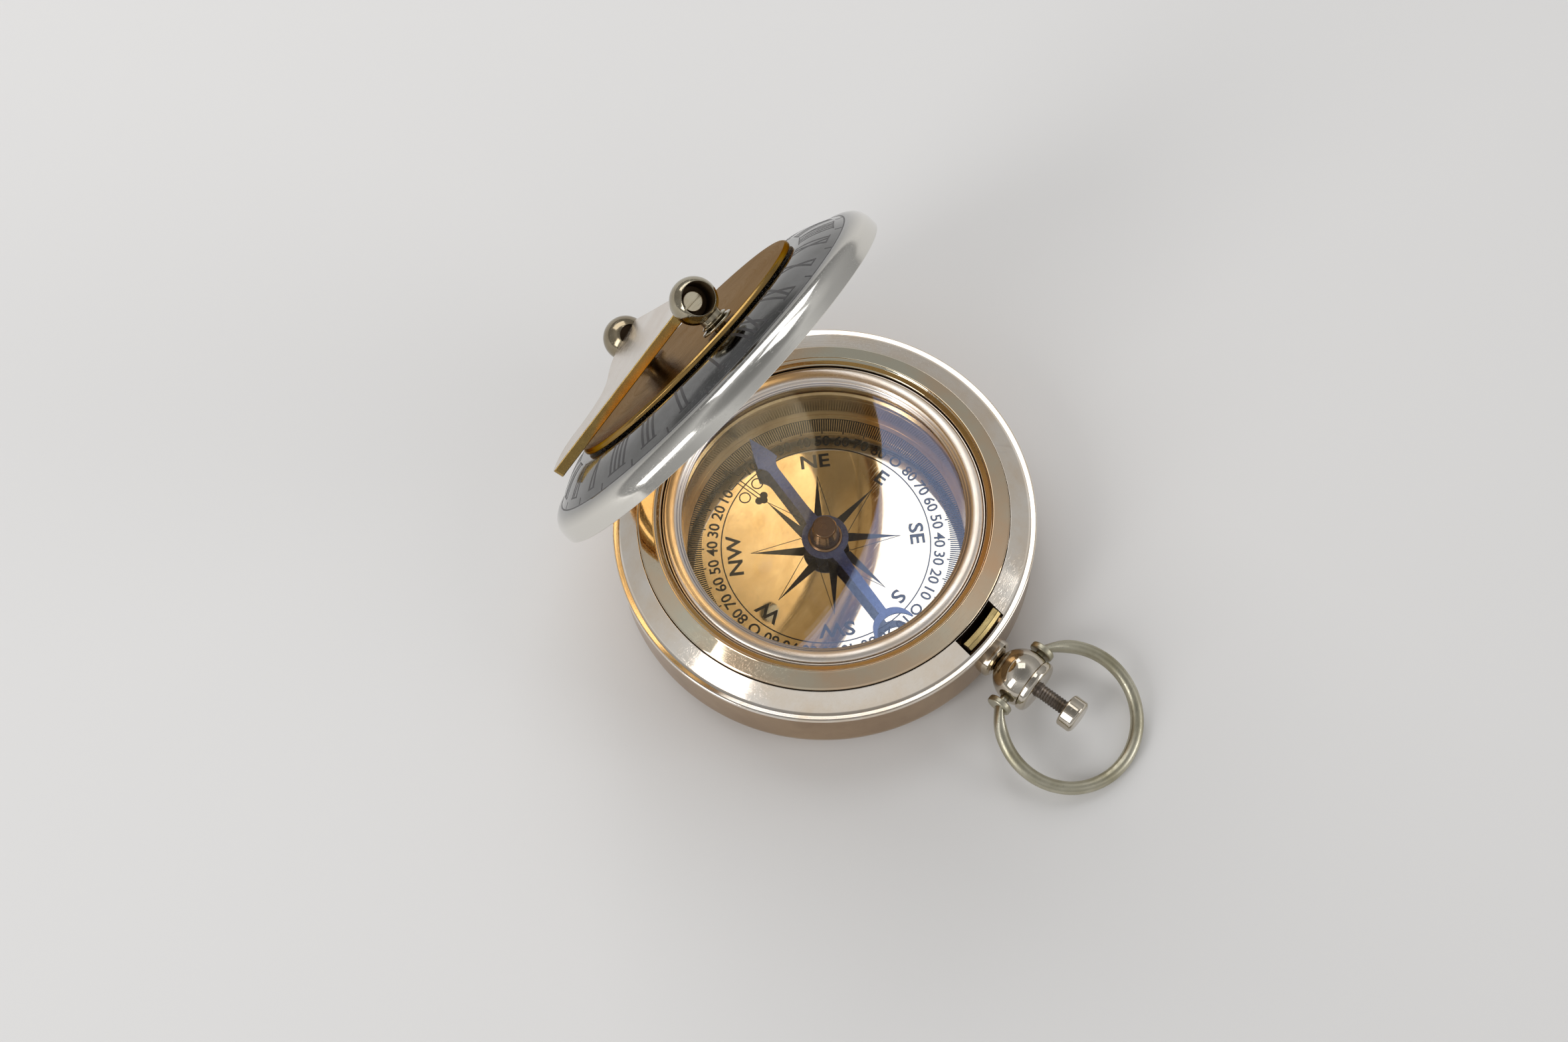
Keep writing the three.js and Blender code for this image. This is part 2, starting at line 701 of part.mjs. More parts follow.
function pendantNeck() {
  const foot = cupBore;
  const end = pendantNeckEnd - seatGap;
  const bore = shaftRadius + runGap + 0.01;
  const shoulder = caseRadius + neckLength;
  const body = onStem([[bore, foot], [neckRadius, foot], [neckRadius, shoulder - 0.45],
    [neckRadius - 0.45, shoulder - 0.1], [neckTip + 0.5, shoulder - 0.1], [neckTip, end], [bore, end]]);
  const wall = turned([...caseOutside(cutGap), [caseRadius + cutGap, 14], [0, 14]]);
  return cut(body, wall);
}

function pendantBall() {
  const bore = shaftRadius + runGap + 0.01;
  const start = Math.atan2(pendantNeckEnd - pendantCentre, neckTip) / degrees;
  const ringFoot = 1.5;
  const ringAngle = Math.asin(ringFoot / pendantRadius) / degrees;
  const face = pendantCentre + pendantFace;
  const body = onStem([
    [bore, pendantNeckEnd],
    ...arc(0, pendantCentre, pendantRadius, start, ringAngle, 8),
    [collarRadius, pendantCentre + ringFoot + 0.15],
    [collarRadius, face - 0.45],
    [collarRadius - 0.35, face - 0.1],
    [collarRadius - 0.7, face],
    [bore, face],
  ], 24);
  const reach = pendantRadius + 1 - bowPivotDepth + cutGap;
  const holes = [-1, 1].map((side) => rodX(bowPivotRadius + runGap, reach)
    .translate(side * (bowPivotDepth - cutGap + reach / 2), -pendantCentre, stemHeight));
  return cut(body, ...holes);
}

// Shaft with a collar that stops on the inside of the wall; its end bears on the latch
function buttonShaft() {
  const inner = latchRadius - latchStep + seatGap;
  const stop = Math.sqrt(cupBore ** 2 - shaftCollarRadius ** 2) - seatGap;
  return onStem([[0, inner], [shaftCollarRadius, inner], [shaftCollarRadius, stop],
    [shaftRadius, stop], [shaftRadius, knobStart - seatGap], [0, knobStart - seatGap]]);
}

function buttonKnob() {
  const end = knobStart + knobLength;
  return onStem([[0, knobStart], [knobRadius - 0.2, knobStart], [knobRadius, knobStart + 0.2],
    [knobRadius, end - 0.35], [knobRadius - 0.3, end - 0.08], [knobRadius - 0.8, end], [0, end]], 24);
}

// Latch: a catch that steps out over the shaft's collar and rises through the slot; its nose holds the
// lid's lip down
function latchCatch() {
  const inner = latchRadius - latchThickness;
  const noseFloor = flangeTop + lidLift + 0.08 + catchThickness + 0.08;
  const nose = latchRadius + latchReach;
  const low = stemHeight - 1.6;
  const stepLow = stemHeight + shaftCollarRadius + seatGap;
  const stepHigh = cupHeight - spigotDepth - fitGap;
  const ring = turned([
    [inner - latchStep, low],
    [latchRadius - latchStep, low],
    [latchRadius - latchStep, stepLow],
    [latchRadius, stepLow + seatGap],
    [latchRadius, noseFloor - 0.04],
    [nose, noseFloor],
    [nose, noseFloor + 0.2],
    [latchRadius, noseFloor + 0.6],
    [inner, noseFloor + 0.6],
    [inner, stepHigh],
    [inner - latchStep, stepHigh - seatGap],
  ]);
  return common(ring, block([-latchWidth / 2, -caseRadius, 0], [latchWidth / 2, 0, 20]));
}

function lockSpring() {
  const outer = latchRadius - latchThickness - latchStep - 0.15;
  const middle = stemHeight;
  return bentStrip(outer - stripThickness, outer, -122, -58, middle - stripHeight / 2, middle + stripHeight / 2);
}

function lidSpring() {
  const outer = cupBore - 0.3;
  const middle = stemHeight;
  return bentStrip(outer - stripThickness, outer, -20, 84, middle - stripHeight / 2, middle + stripHeight / 2, 24);
}

// Bow: a round wire ring whose ends turn in to the ball's sides
function bowRing() {
  const open = Math.asin(bowPivotSpan / bowRadius);
  const points = [];
  for (let i = 0; i <= 32; i += 1) {
    const angle = -Math.PI + open + ((2 * Math.PI - 2 * open) * i) / 32;
    points.push(new THREE.Vector3(bowRadius * Math.sin(angle), bowReach + bowRadius * Math.cos(angle), 0));
  }
  const section = new THREE.Shape();
  section.absarc(0, 0, bowWire, 0, 2 * Math.PI, false);
  const path = new THREE.CatmullRomCurve3(points);
  const wire = new THREE.ExtrudeGeometry(section, { steps: 32, curveSegments: 3, extrudePath: path });
  const pinLength = bowPivotSpan - bowPivotDepth;
  const ends = [-1, 1].flatMap((side) => [
    rodX(bowPivotRadius, pinLength).translate(side * (bowPivotDepth + pinLength / 2), 0, 0),
    new THREE.SphereGeometry(bowWire + 0.03, 12, 8).translate(side * bowPivotSpan, 0, 0),
  ]);
  return fuse(wire, ...ends);
}

function bowBody() {
  const ring = piece("bow", bowRing(), "dullBrass");
  ring.rotation.z = Math.PI;
  const body = new THREE.Group();
  body.add(ring);
  body.position.set(0, -pendantCentre, stemHeight);
  body.rotation.x = bowDrop;
  return body;
}

function hingePin() {
  return rodX(hingePinRadius, hingeWidth).translate(0, hingeY, hingeZ);
}

const model = new THREE.Group();
model.add(
  piece("case_cup", caseCup(), "paleBrass"),
  piece("case_rim", caseRim(), "paleBrass"),
  piece("capsule_ring", capsuleRing(), "paleBrass"),
  piece("bezel", bezelRing(), "paleBrass"),
  piece("glass", glassDisc(), "clearGlass"),
  piece("spacer_ring", spacerRing(), "goldBrass"),
  piece("dial_plate", dialPlate(), "dialBrass"),
  piece("pivot_post", pivotPost(), "darkSteel"),
  piece("case_knuckle_left", caseKnuckle(-1), "paleBrass"),
  piece("case_knuckle_right", caseKnuckle(1), "paleBrass"),
  piece("hinge_pin", hingePin(), "darkSteel"),
  piece("lid_spring", lidSpring(), "darkSteel"),
  piece("pendant_neck", pendantNeck(), "paleBrass"),
  piece("pendant_ball", pendantBall(), "paleBrass"),
  piece("button_shaft", buttonShaft(), "darkSteel"),
  piece("button_knob", buttonKnob(), "paleBrass"),
  piece("latch", latchCatch(), "goldBrass"),
  piece("lock_spring", lockSpring(), "darkSteel"),
  needleBody(),
  lidBody(),
  bowBody(),
);

export default model;
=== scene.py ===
"""Pocket sundial compass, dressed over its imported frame.

The frame stands with the case's flat bottom on Z = 0, the hinge toward +Y and the pendant toward -Y.
Sizes in the sections are millimetres; a mesh is written in metres.
"""
import math

import bmesh
import bpy
import numpy as np
from mathutils import Matrix, Vector


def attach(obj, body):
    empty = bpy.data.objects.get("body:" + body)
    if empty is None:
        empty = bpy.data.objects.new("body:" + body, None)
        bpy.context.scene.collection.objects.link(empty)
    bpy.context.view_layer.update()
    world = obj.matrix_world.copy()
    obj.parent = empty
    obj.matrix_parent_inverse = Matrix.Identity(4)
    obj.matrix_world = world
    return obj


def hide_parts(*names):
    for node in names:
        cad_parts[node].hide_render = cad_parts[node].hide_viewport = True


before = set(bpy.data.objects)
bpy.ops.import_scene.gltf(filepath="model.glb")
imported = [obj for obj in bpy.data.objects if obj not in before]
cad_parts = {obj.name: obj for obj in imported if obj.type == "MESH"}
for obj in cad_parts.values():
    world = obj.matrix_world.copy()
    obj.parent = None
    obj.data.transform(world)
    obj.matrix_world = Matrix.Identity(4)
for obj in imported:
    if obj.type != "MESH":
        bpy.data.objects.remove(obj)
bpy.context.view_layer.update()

# View: a long lens that looks steeply down over the pendant's left side, held slightly askew, at the
# distance and angle from which the photograph was taken.
eye = Vector((-0.09457, -0.08642, 0.3172))
tilt, roll, heading = math.radians(67.19), math.radians(-6.74), math.radians(-45.2)
ahead = Vector((0, math.cos(tilt), -math.sin(tilt)))
level, rise = Vector((1, 0, 0)), Vector((0, math.sin(tilt), math.cos(tilt)))
across = level * math.cos(roll) + rise * math.sin(roll)
upward = rise * math.cos(roll) - level * math.sin(roll)
camera = bpy.data.objects.new("view_camera", bpy.data.cameras.new("view_camera"))
camera.data.sensor_width = 36
camera.data.lens = 56.67
camera.data.clip_start = 0.01
turned_axes = Matrix.Rotation(heading, 3, "Z") @ Matrix((across, upward, -ahead)).transposed()
camera.matrix_world = Matrix.Translation(eye) @ turned_axes.to_4x4()
bpy.context.scene.collection.objects.link(camera)
bpy.context.scene.camera = camera
bpy.context.scene.view_settings.view_transform = "Standard"


# Floor and light: a wide pale table, a plain sky that is brightest at middle height, and four soft
# boxes that give the polished brass its long highlights.
def node_tree(owner):
    """The owner's empty node tree."""
    owner.use_nodes = True
    owner.node_tree.nodes.clear()
    return owner.node_tree


def add_node(tree, kind, links=(), **settings):
    """A node of this kind, its settings made, and each (socket, source or value) of links joined or set."""
    made = tree.nodes.new(kind)
    for name, value in settings.items():
        setattr(made, name, value)
    for socket, source in links:
        if isinstance(source, bpy.types.NodeSocket):
            tree.links.new(source, made.inputs[socket])
        else:
            made.inputs[socket].default_value = source
    return made


def ramp(tree, factor, *stops):
    """A colour ramp over factor; each stop is (position, grey level or colour)."""
    made = add_node(tree, "ShaderNodeValToRGB", [(0, factor)])
    strip = made.color_ramp.elements
    while len(strip) < len(stops):
        strip.new(0.5)
    for element, (position, colour) in zip(strip, stops):
        element.position = position
        element.color = (*([colour] * 3 if isinstance(colour, (int, float)) else colour), 1)
    return made.outputs[0]


def surface(tree, colour, roughness, metallic=0.0, normal=None):
    """A principled surface with these values or sockets, on the tree's output."""
    links = [("Base Color", colour), ("Roughness", roughness), ("Metallic", metallic)]
    if normal is not None:
        links.append(("Normal", normal))
    shader = add_node(tree, "ShaderNodeBsdfPrincipled", links)
    add_node(tree, "ShaderNodeOutputMaterial", [("Surface", shader.outputs[0])])


table_half = 2.0
table_corners = [(x * table_half, y * table_half, 0) for x, y in ((-1, -1), (1, -1), (1, 1), (-1, 1))]
table_mesh = bpy.data.meshes.new("table")
table_mesh.from_pydata(table_corners, [], [(0, 1, 2, 3)])
table = bpy.data.objects.new("table", table_mesh)
bpy.context.scene.collection.objects.link(table)
table_finish = bpy.data.materials.new("pale_table")
surface(node_tree(table_finish), (0.84, 0.83, 0.82, 1), 0.85)
table_mesh.materials.append(table_finish)

sky = bpy.data.worlds.new("studio")
bpy.context.scene.world = sky
tree = node_tree(sky)
direction = add_node(tree, "ShaderNodeTexCoord")
height = add_node(tree, "ShaderNodeSeparateXYZ", [(0, direction.outputs["Generated"])])
shade = ramp(tree, height.outputs["Z"], (0.0, 0.34), (0.45, 0.42), (0.72, 0.62), (0.88, 0.3), (1.0, 0.22))
glow = add_node(tree, "ShaderNodeBackground", [("Color", shade), ("Strength", 1.0)])
add_node(tree, "ShaderNodeOutputWorld", [("Surface", glow.outputs[0])])

for name, place, aim, width, depth, power in (
    ("back_box", (0.20, 0.56, 0.42), (0, 0, 0.02), 0.60, 0.34, 1.6),
    ("top_box", (0.27, 0.20, 0.66), (0, 0, 0.02), 0.34, 0.30, 0.5),
    ("side_box", (-0.62, 0.10, 0.36), (0, 0, 0.02), 0.20, 0.50, 1.5),
    ("front_box", (0.36, -0.66, 0.26), (0, 0, 0.03), 0.34, 0.30, 0.9),
):
    lamp = bpy.data.objects.new(name, bpy.data.lights.new(name, "AREA"))
    lamp.data.shape = "RECTANGLE"
    lamp.data.size, lamp.data.size_y, lamp.data.energy = width, depth, power
    lamp.location = place
    lamp.rotation_euler = (Vector(aim) - Vector(place)).to_track_quat("-Z", "Y").to_euler()
    bpy.context.scene.collection.objects.link(lamp)


# Case cup: a deep cup turned from brass, with a flat bottom, a rounded lower edge and a pocket
# milled for the hinge. It is polished outside, where its lathe lines still show. Its outside colour, a dark
# brown-gold, is a painted reflection of dark wood.
def arc(x, y, radius, start, end, steps):
    """Points x + r cos a, y + r sin a for a from start to end in degrees."""
    a = np.radians(np.linspace(start, end, steps + 1))
    return np.stack([x + radius * np.cos(a), y + radius * np.sin(a)], -1)


mid_side = 9.0


def rounded(corners, sizes=0.1, steps=4):
    """A closed outline whose corners P are eased by (1-t)^2 A + 2t(1-t) P + t^2 B, with A and B a size
    away along its two sides. A size of mid_side runs the curve from mid side to mid side. Points on
    the axis stay."""
    p = np.array(corners, float)
    size = np.broadcast_to(np.asarray(sizes, float), (len(p),)).reshape(-1, 1)
    size = np.where(p[:, :1] < 1e-9, 0, size)
    sides = []
    for other in (np.roll(p, 1, 0), np.roll(p, -1, 0)):
        away = other - p
        length = np.maximum(np.linalg.norm(away, axis=1, keepdims=True), 1e-9)
        whole = size >= mid_side
        reach = np.where(whole, 0.5 * length, np.minimum(size, 0.34 * length))
        sides.append((p + away / length * reach, p + away / length * np.where(whole, reach, 1.4 * reach)))
    (a, a_flat), (b, b_flat) = sides
    t = np.linspace(0, 1, steps + 1).reshape(1, -1, 1)
    curve = (1 - t) ** 2 * a[:, None] + 2 * t * (1 - t) * p[:, None] + t**2 * b[:, None]
    line = np.concatenate([a_flat[:, None], curve, b_flat[:, None]], 1).reshape(-1, 2)
    return line[np.linalg.norm(line - np.roll(line, 1, 0), axis=1) > 1e-5]


def quads(rows, columns, close_rows=True, close_columns=True):
    """Faces (i, j), (i+1, j), (i+1, j+1), (i, j+1) of a grid of points, joined round where asked."""
    i, j = np.meshgrid(
        np.arange(rows - (not close_rows)), np.arange(columns - (not close_columns)), indexing="ij"
    )
    down, right = (i + 1) % rows, (j + 1) % columns
    corners = [i * columns + j, down * columns + j, down * columns + right, i * columns + right]
    return np.stack(corners, -1).reshape(-1, 4).tolist()


def turned(outline, steps=288):
    """An outline of (radius r, height h) carried round Z: x = r cos v, y = r sin v, z = h."""
    v = np.arange(steps) / steps * 2 * np.pi
    r, h = outline[:, :1], outline[:, 1:]
    points = np.stack([r * np.cos(v), r * np.sin(v), h + 0 * v], -1).reshape(-1, 3)
    return points, quads(len(outline), steps)


def tube(rings):
    """A stack of rings, numbered (ring, point, axis), as a skin with a flat face at each end."""
    rows, around = rings.shape[:2]
    ends = [list(range(around))[::-1], list(range((rows - 1) * around, rows * around))]
    return rings.reshape(-1, 3), quads(rows, around, close_rows=False) + ends


def rod(radius, low, high, steps=48, ease=0.0):
    """A round rod about Z between two heights, with its rims eased."""
    return turned(rounded([(0, low), (radius, low), (radius, high), (0, high)], ease), steps)


def block(low, high):
    """The eight corners and six faces of a box between two corners."""
    ends = np.array([low, high], float)
    pick = np.array([[0, 0, 0], [1, 0, 0], [1, 1, 0], [0, 1, 0], [0, 0, 1], [1, 0, 1], [1, 1, 1], [0, 1, 1]])
    points = np.stack([ends[pick[:, k], k] for k in range(3)], -1)
    faces = [[0, 3, 2, 1], [4, 5, 6, 7], [0, 1, 5, 4], [1, 2, 6, 5], [2, 3, 7, 6], [3, 0, 4, 7]]
    return points, faces


def together(*parts):
    """Several (points, faces) as one, with the later faces' numbers moved up."""
    points, faces = np.zeros((0, 3)), []
    for more, loops in parts:
        faces += [[k + len(points) for k in loop] for loop in loops]
        points = np.concatenate([points, more])
    return points, faces


def new_body(name, part):
    """An object of the part's points, from millimetres to metres, doubles merged and faces turned outward."""
    points, faces = part
    mesh = bpy.data.meshes.new(name)
    mesh.from_pydata((np.asarray(points) / 1000).tolist(), [], faces)
    shape = bmesh.new()
    shape.from_mesh(mesh)
    bmesh.ops.remove_doubles(shape, verts=shape.verts, dist=2e-7)
    bmesh.ops.recalc_face_normals(shape, faces=shape.faces)
    shape.to_mesh(mesh)
    shape.free()
    made = bpy.data.objects.new(name, mesh)
    bpy.context.scene.collection.objects.link(made)
    return made


def cut_out(body, cutter):
    """Takes a cutter out of a body, leaves the body a plain mesh and removes the cutter."""
    step = body.modifiers.new("cut", "BOOLEAN")
    step.operation, step.solver, step.object = "DIFFERENCE", "EXACT", cutter
    held = bpy.context.evaluated_depsgraph_get()
    mesh = bpy.data.meshes.new_from_object(body.evaluated_get(held))
    body.modifiers.clear()
    body.data = mesh
    bpy.data.objects.remove(cutter)


def carve(body, *tools):
    """Takes the tools' (points, faces) out of a body, one after another."""
    for tool in tools:
        cut_out(body, new_body("cutter", tool))


def dress(piece, finish, body, *nodes, slot, crisp=42):
    """Smooth shading with edges kept beyond the crisp angle, a finish, and the piece's place on its body."""
    mesh = piece.data
    mesh.materials.clear()
    mesh.materials.append(finish)
    mesh.polygons.foreach_set("use_smooth", np.ones(len(mesh.polygons), bool))
    mesh.set_sharp_from_angle(angle=math.radians(crisp))
    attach(piece, body)
    if nodes:
        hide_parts(*nodes)


def also(piece, finish, chosen):
    """A second finish on the faces that chosen picks from their middles (millimetres) and normals."""
    mesh = piece.data
    middles, normals = np.empty(len(mesh.polygons) * 3), np.empty(len(mesh.polygons) * 3)
    mesh.polygons.foreach_get("center", middles)
    mesh.polygons.foreach_get("normal", normals)
    mesh.materials.append(finish)
    picked = chosen(middles.reshape(-1, 3) * 1000, normals.reshape(-1, 3))
    mesh.polygons.foreach_set("material_index", picked.astype(np.int32))
    mesh.update()


def object_place(tree):
    """Object coordinates."""
    return add_node(tree, "ShaderNodeTexCoord").outputs["Object"]


def mapped(tree, vector, scale, turn=(0, 0, 0), shift=(0, 0, 0)):
    """The vector scaled, turned and then shifted."""
    links = [("Vector", vector), ("Location", shift), ("Rotation", turn), ("Scale", scale)]
    return add_node(tree, "ShaderNodeMapping", links).outputs[0]


def noise(tree, vector, scale, detail, roughness):
    """Noise over a vector."""
    links = [("Vector", vector), ("Scale", scale), ("Detail", detail), ("Roughness", roughness)]
    return add_node(tree, "ShaderNodeTexNoise", links).outputs[0]


def maths(tree, operation, *values):
    """One operation on up to three values or sockets."""
    return add_node(tree, "ShaderNodeMath", list(enumerate(values)), operation=operation).outputs[0]


def remap(tree, value, low, high, to_low=0.0, to_high=1.0):
    """The value carried from low and high to two other limits, and held there beyond them."""
    limits = [("From Min", low), ("From Max", high), ("To Min", to_low), ("To Max", to_high)]
    return add_node(tree, "ShaderNodeMapRange", [("Value", value), *limits]).outputs[0]


def blend(tree, share, one, other):
    """One colour where share is 0, and the other where it is 1."""
    links = [(0, share), (6, one), (7, other)]
    return add_node(tree, "ShaderNodeMix", links, data_type="RGBA").outputs[2]


def bumped(tree, height, strength, distance):
    """The normal bent by a height."""
    links = [("Height", height), ("Strength", strength), ("Distance", distance)]
    return add_node(tree, "ShaderNodeBump", links).outputs[0]


def length_of(tree, vector):
    """The vector's length."""
    return add_node(tree, "ShaderNodeVectorMath", [(0, vector)], operation="LENGTH").outputs["Value"]


def metal(
    name, pale, deep, rough, lathe=0.25, scratch=0.3, axis=None, blotch=0.14, pits=0.15,
    relief_depth=0.000012, highlight_band=None
):
    """Worn polished metal. Object coordinates are turned into millimetres about the piece's own axis, then
    lathe lines are noise over (radius, height), tarnish is a slow noise between the two colours, and fine
    scratches are stretched noise; lines and scratches go into roughness and bump. Where a highlight band
    is given, a painted highlight turns the colour to a third, bright one between two radii."""
    finish = bpy.data.materials.new(name)
    tree = node_tree(finish)
    local = mapped(tree, object_place(tree), (1000, 1000, 1000), *(axis or ()))
    radius = length_of(tree, mapped(tree, local, (1, 1, 0)))
    parts = add_node(tree, "ShaderNodeSeparateXYZ", [(0, local)]).outputs
    drift = maths(tree, "MULTIPLY", parts["X"], 0.015)
    along = add_node(tree, "ShaderNodeCombineXYZ", [("X", radius), ("Y", parts["Z"]), ("Z", drift)])
    lines = noise(tree, along.outputs[0], 5.5, 4.0, 0.65)
    tarnish = ramp(tree, noise(tree, local, blotch, 5.0, 0.6), (0.36, 0.0), (0.68, 1.0))
    pitted = ramp(tree, noise(tree, local, 2.6, 6.0, 0.75), (0.64, 0.0), (0.72, pits))
    streaks = []
    for turn_x, turn_z in ((0.3, 0.6), (1.1, 2.1)):
        swept = mapped(tree, local, (0.35, 9.0, 9.0), (turn_x, 0.4, turn_z))
        streaks.append(ramp(tree, noise(tree, swept, 1.0, 2.0, 0.5), (0.66, 0.0), (0.69, 1.0)))
    scratches = maths(tree, "MAXIMUM", *streaks)
    dirt = (*(c * 0.28 for c in deep), 1)
    coloured = blend(tree, tarnish, (*pale, 1), (*deep, 1))
    coloured = blend(tree, pitted, coloured, dirt)
    if highlight_band:
        start, end, bright = highlight_band
        coloured = blend(tree, remap(tree, radius, start, end), coloured, (*bright, 1))
    edge = add_node(tree, "ShaderNodeNewGeometry").outputs["Pointiness"]
    hollow = ramp(tree, edge, (0.455, 1.0), (0.497, 0.0))
    coloured = blend(tree, maths(tree, "MULTIPLY", hollow, 0.45), coloured, dirt)
    spread = remap(tree, lines, 0.3, 0.7, rough * 0.75, rough * 1.35)
    worn = maths(tree, "MULTIPLY_ADD", tarnish, rough * 0.35, spread)
    scored = maths(tree, "MULTIPLY_ADD", scratches, 0.12 * scratch, worn)
    relief = maths(tree, "MULTIPLY", lines, lathe)
    relief = maths(tree, "MULTIPLY_ADD", scratches, -scratch, relief)
    relief = maths(tree, "MULTIPLY_ADD", pitted, -0.5, relief)
    surface(tree, coloured, scored, 1.0, bumped(tree, relief, 0.5, relief_depth))
    return finish


case_brass = metal(
    "case_brass", (0.98, 0.91, 0.82), (0.92, 0.77, 0.60), 0.09, lathe=0.3, scratch=0.15, pits=0.05
)
# Dark brown-gold for the cup's outside: a painted reflection of dark wood, not the brass's own colour.
wood_reflection_brass = metal("case_painted_wood_reflection", (0.44, 0.29, 0.15), (0.34, 0.21, 0.10), 0.14, lathe=0.8, scratch=0.3)
# A near-black brass laid on faces down in slots, bores and grooves: it is painted shade.
painted_shade_brass = metal("painted_shade_brass", (0.16, 0.11, 0.06), (0.07, 0.045, 0.03), 0.4, lathe=0.3, scratch=0.2)
stem_height = 5.8
hinge_y, hinge_z = 26.4, 10.4
pocket_half, pocket_floor = 5.3, 9.0


def along_y(part, shift, side=1):
    """A part made about Z laid along Y, its height running toward side times Y, and then shifted."""
    points, faces = part
    return points[:, [0, 2, 1]] * (1, side, 1) + shift, faces


def along_stem(part):
    """A part made about Z laid along the stem, its height running toward -Y."""
    return along_y(part, (0, 0, stem_height), -1)


cup_outline = rounded([
    (0, 0), *arc(24.3, 4, 4, -90, 0, 24), (28.3, 11.3), (27.0, 11.3), *arc(24.4, 4.0, 2.6, 0, -90, 12),
    (21.45, 1.4), (21.45, 2.05), (17.45, 2.05), (17.45, 1.4), (2.5, 1.4), (2.5, 2.05), (1.0, 2.05),
    (1.0, 1.0), (0, 1.0),
], 0.12)
cup = new_body("case_cup_turned", turned(cup_outline))
carve(
    cup,
    block((-pocket_half, hinge_y - 3, pocket_floor), (pocket_half, 27.65, 13)),
    block((-pocket_half, 27.6, 9.712), (pocket_half, 30, 13)),
    along_stem(rod(1.08, 26, 29.3)),
)
dress(cup, wood_reflection_brass, "case_body", "case_cup", slot="case_brass")

# Case rim: a flanged ring pressed into the cup. It has a narrow flat flange, a sloping seat that the
# lid's edge closes on, a milled slot for the latch and a flat where the hinge stands.
rim_outline = rounded(
    [(24.3, 8.3), (26.9, 8.3), (26.9, 11.35), (28.5, 11.35), (28.5, 12.0), (27.7, 12.0), (27.42, 12.08),
     (25.0, 13.55), (24.95, 13.55), (24.95, 9.4), (24.3, 9.4)],
    [0.1, 0.1, 0.05, 0.12, 0.22, 0.08, 0.1, 0.1, 0.05, 0.05, 0.1])


def prism(outline, low, high):
    """A closed outline of (x, y) raised straight from low to high, with a flat face at each end."""
    return tube(np.stack([np.column_stack([outline, np.full(len(outline), z)]) for z in (low, high)]))


def slot_tool(inner, outer, half, low, high, steps=24):
    """A block bent round Z at -Y: x from -half to half, y = -sqrt(r^2 - x^2) at both radii r."""
    x = np.linspace(-half, half, steps + 1)
    front = np.stack([x, -np.sqrt(outer**2 - x**2)], -1)
    back = np.stack([x, -np.sqrt(inner**2 - x**2)], -1)[::-1]
    return prism(np.concatenate([front, back]), low, high)


rim = new_body("case_rim_turned", turned(rim_outline))
carve(
    rim,
    block((-pocket_half, 25.0, pocket_floor), (pocket_half, 30, 16)),
    block((-30, 25.15, 11.29), (30, 30, 16)),
    slot_tool(25.0, 27.5, 3.6, 7, 16),
)
dress(rim, case_brass, "case_body", "case_rim", slot="case_brass")


def in_slot(at, way):
    """Upright faces of the latch slot, at the front and close to the middle."""
    upright, central = abs(way[:, 2]) < 0.3, abs(at[:, 0]) < 3.7
    return upright & central & (at[:, 1] < -24.9) & (at[:, 1] > -27.6)


# The slot's upright faces get the near-black brass as painted shade.
also(rim, painted_shade_brass, in_slot)

# Glass unit: a ring with a broad mirror-polished band sits in the rim, and a screwed bezel with a
# rounded bead holds the flat glass down. Both are turned brass; the ring's lower faces, down in the groove
# between them and inside the rim, are painted dark as shade.
band_brass = metal(
    "band_brass", (0.64, 0.60, 0.47), (0.74, 0.50, 0.31), 0.04, lathe=0.1, scratch=0.2, blotch=0.06
)
bezel_brass = metal("bezel_brass", (0.98, 0.90, 0.82), (0.92, 0.78, 0.63), 0.27, lathe=0.9, scratch=0.3)
capsule_outline = rounded(
    [(21.1, 9.45), (24.85, 9.45), (24.85, 13.9), (24.7, 14.0), (22.80, 14.95), (22.72, 15.0),
     (22.60, 15.0), (22.50, 14.92), (22.35, 14.72), (21.9, 14.55), (21.78, 14.5), (21.7, 14.38),
     (21.7, 12.35), (21.1, 12.35)],
    [0.1] * 4 + [0.04] + [mid_side] * 3 + [0.05] + [mid_side] * 2 + [0.05] * 3)
capsule = new_body("capsule_ring_turned", turned(capsule_outline))
dress(capsule, band_brass, "case_body", "capsule_ring", slot="case_brass")
# Faces of the ring below 13.6 mm are painted near-black as shade.
also(capsule, painted_shade_brass, lambda at, way: at[:, 2] < 13.6)
bezel_outline = rounded(
    [(19.05, 13.3), (20.95, 13.3), (20.95, 12.45), (21.6, 12.45), (21.6, 14.02), (21.5, 14.12),
     (21.38, 14.1), (21.30, 14.18), (21.28, 14.28), (21.1, 14.45), (20.7, 14.56), (20.25, 14.56),
     (19.85, 14.48), (19.6, 14.3), (19.5, 14.12), (19.38, 14.08), (19.24, 13.96), (19.18, 13.8),
     (19.06, 13.76), (18.99, 13.62), (18.97, 13.4)],
    [0.05] * 5 + [mid_side] * 15 + [0.05])
bezel = new_body("bezel_turned", turned(bezel_outline))
dress(bezel, bezel_brass, "case_body", "bezel", slot="case_brass")

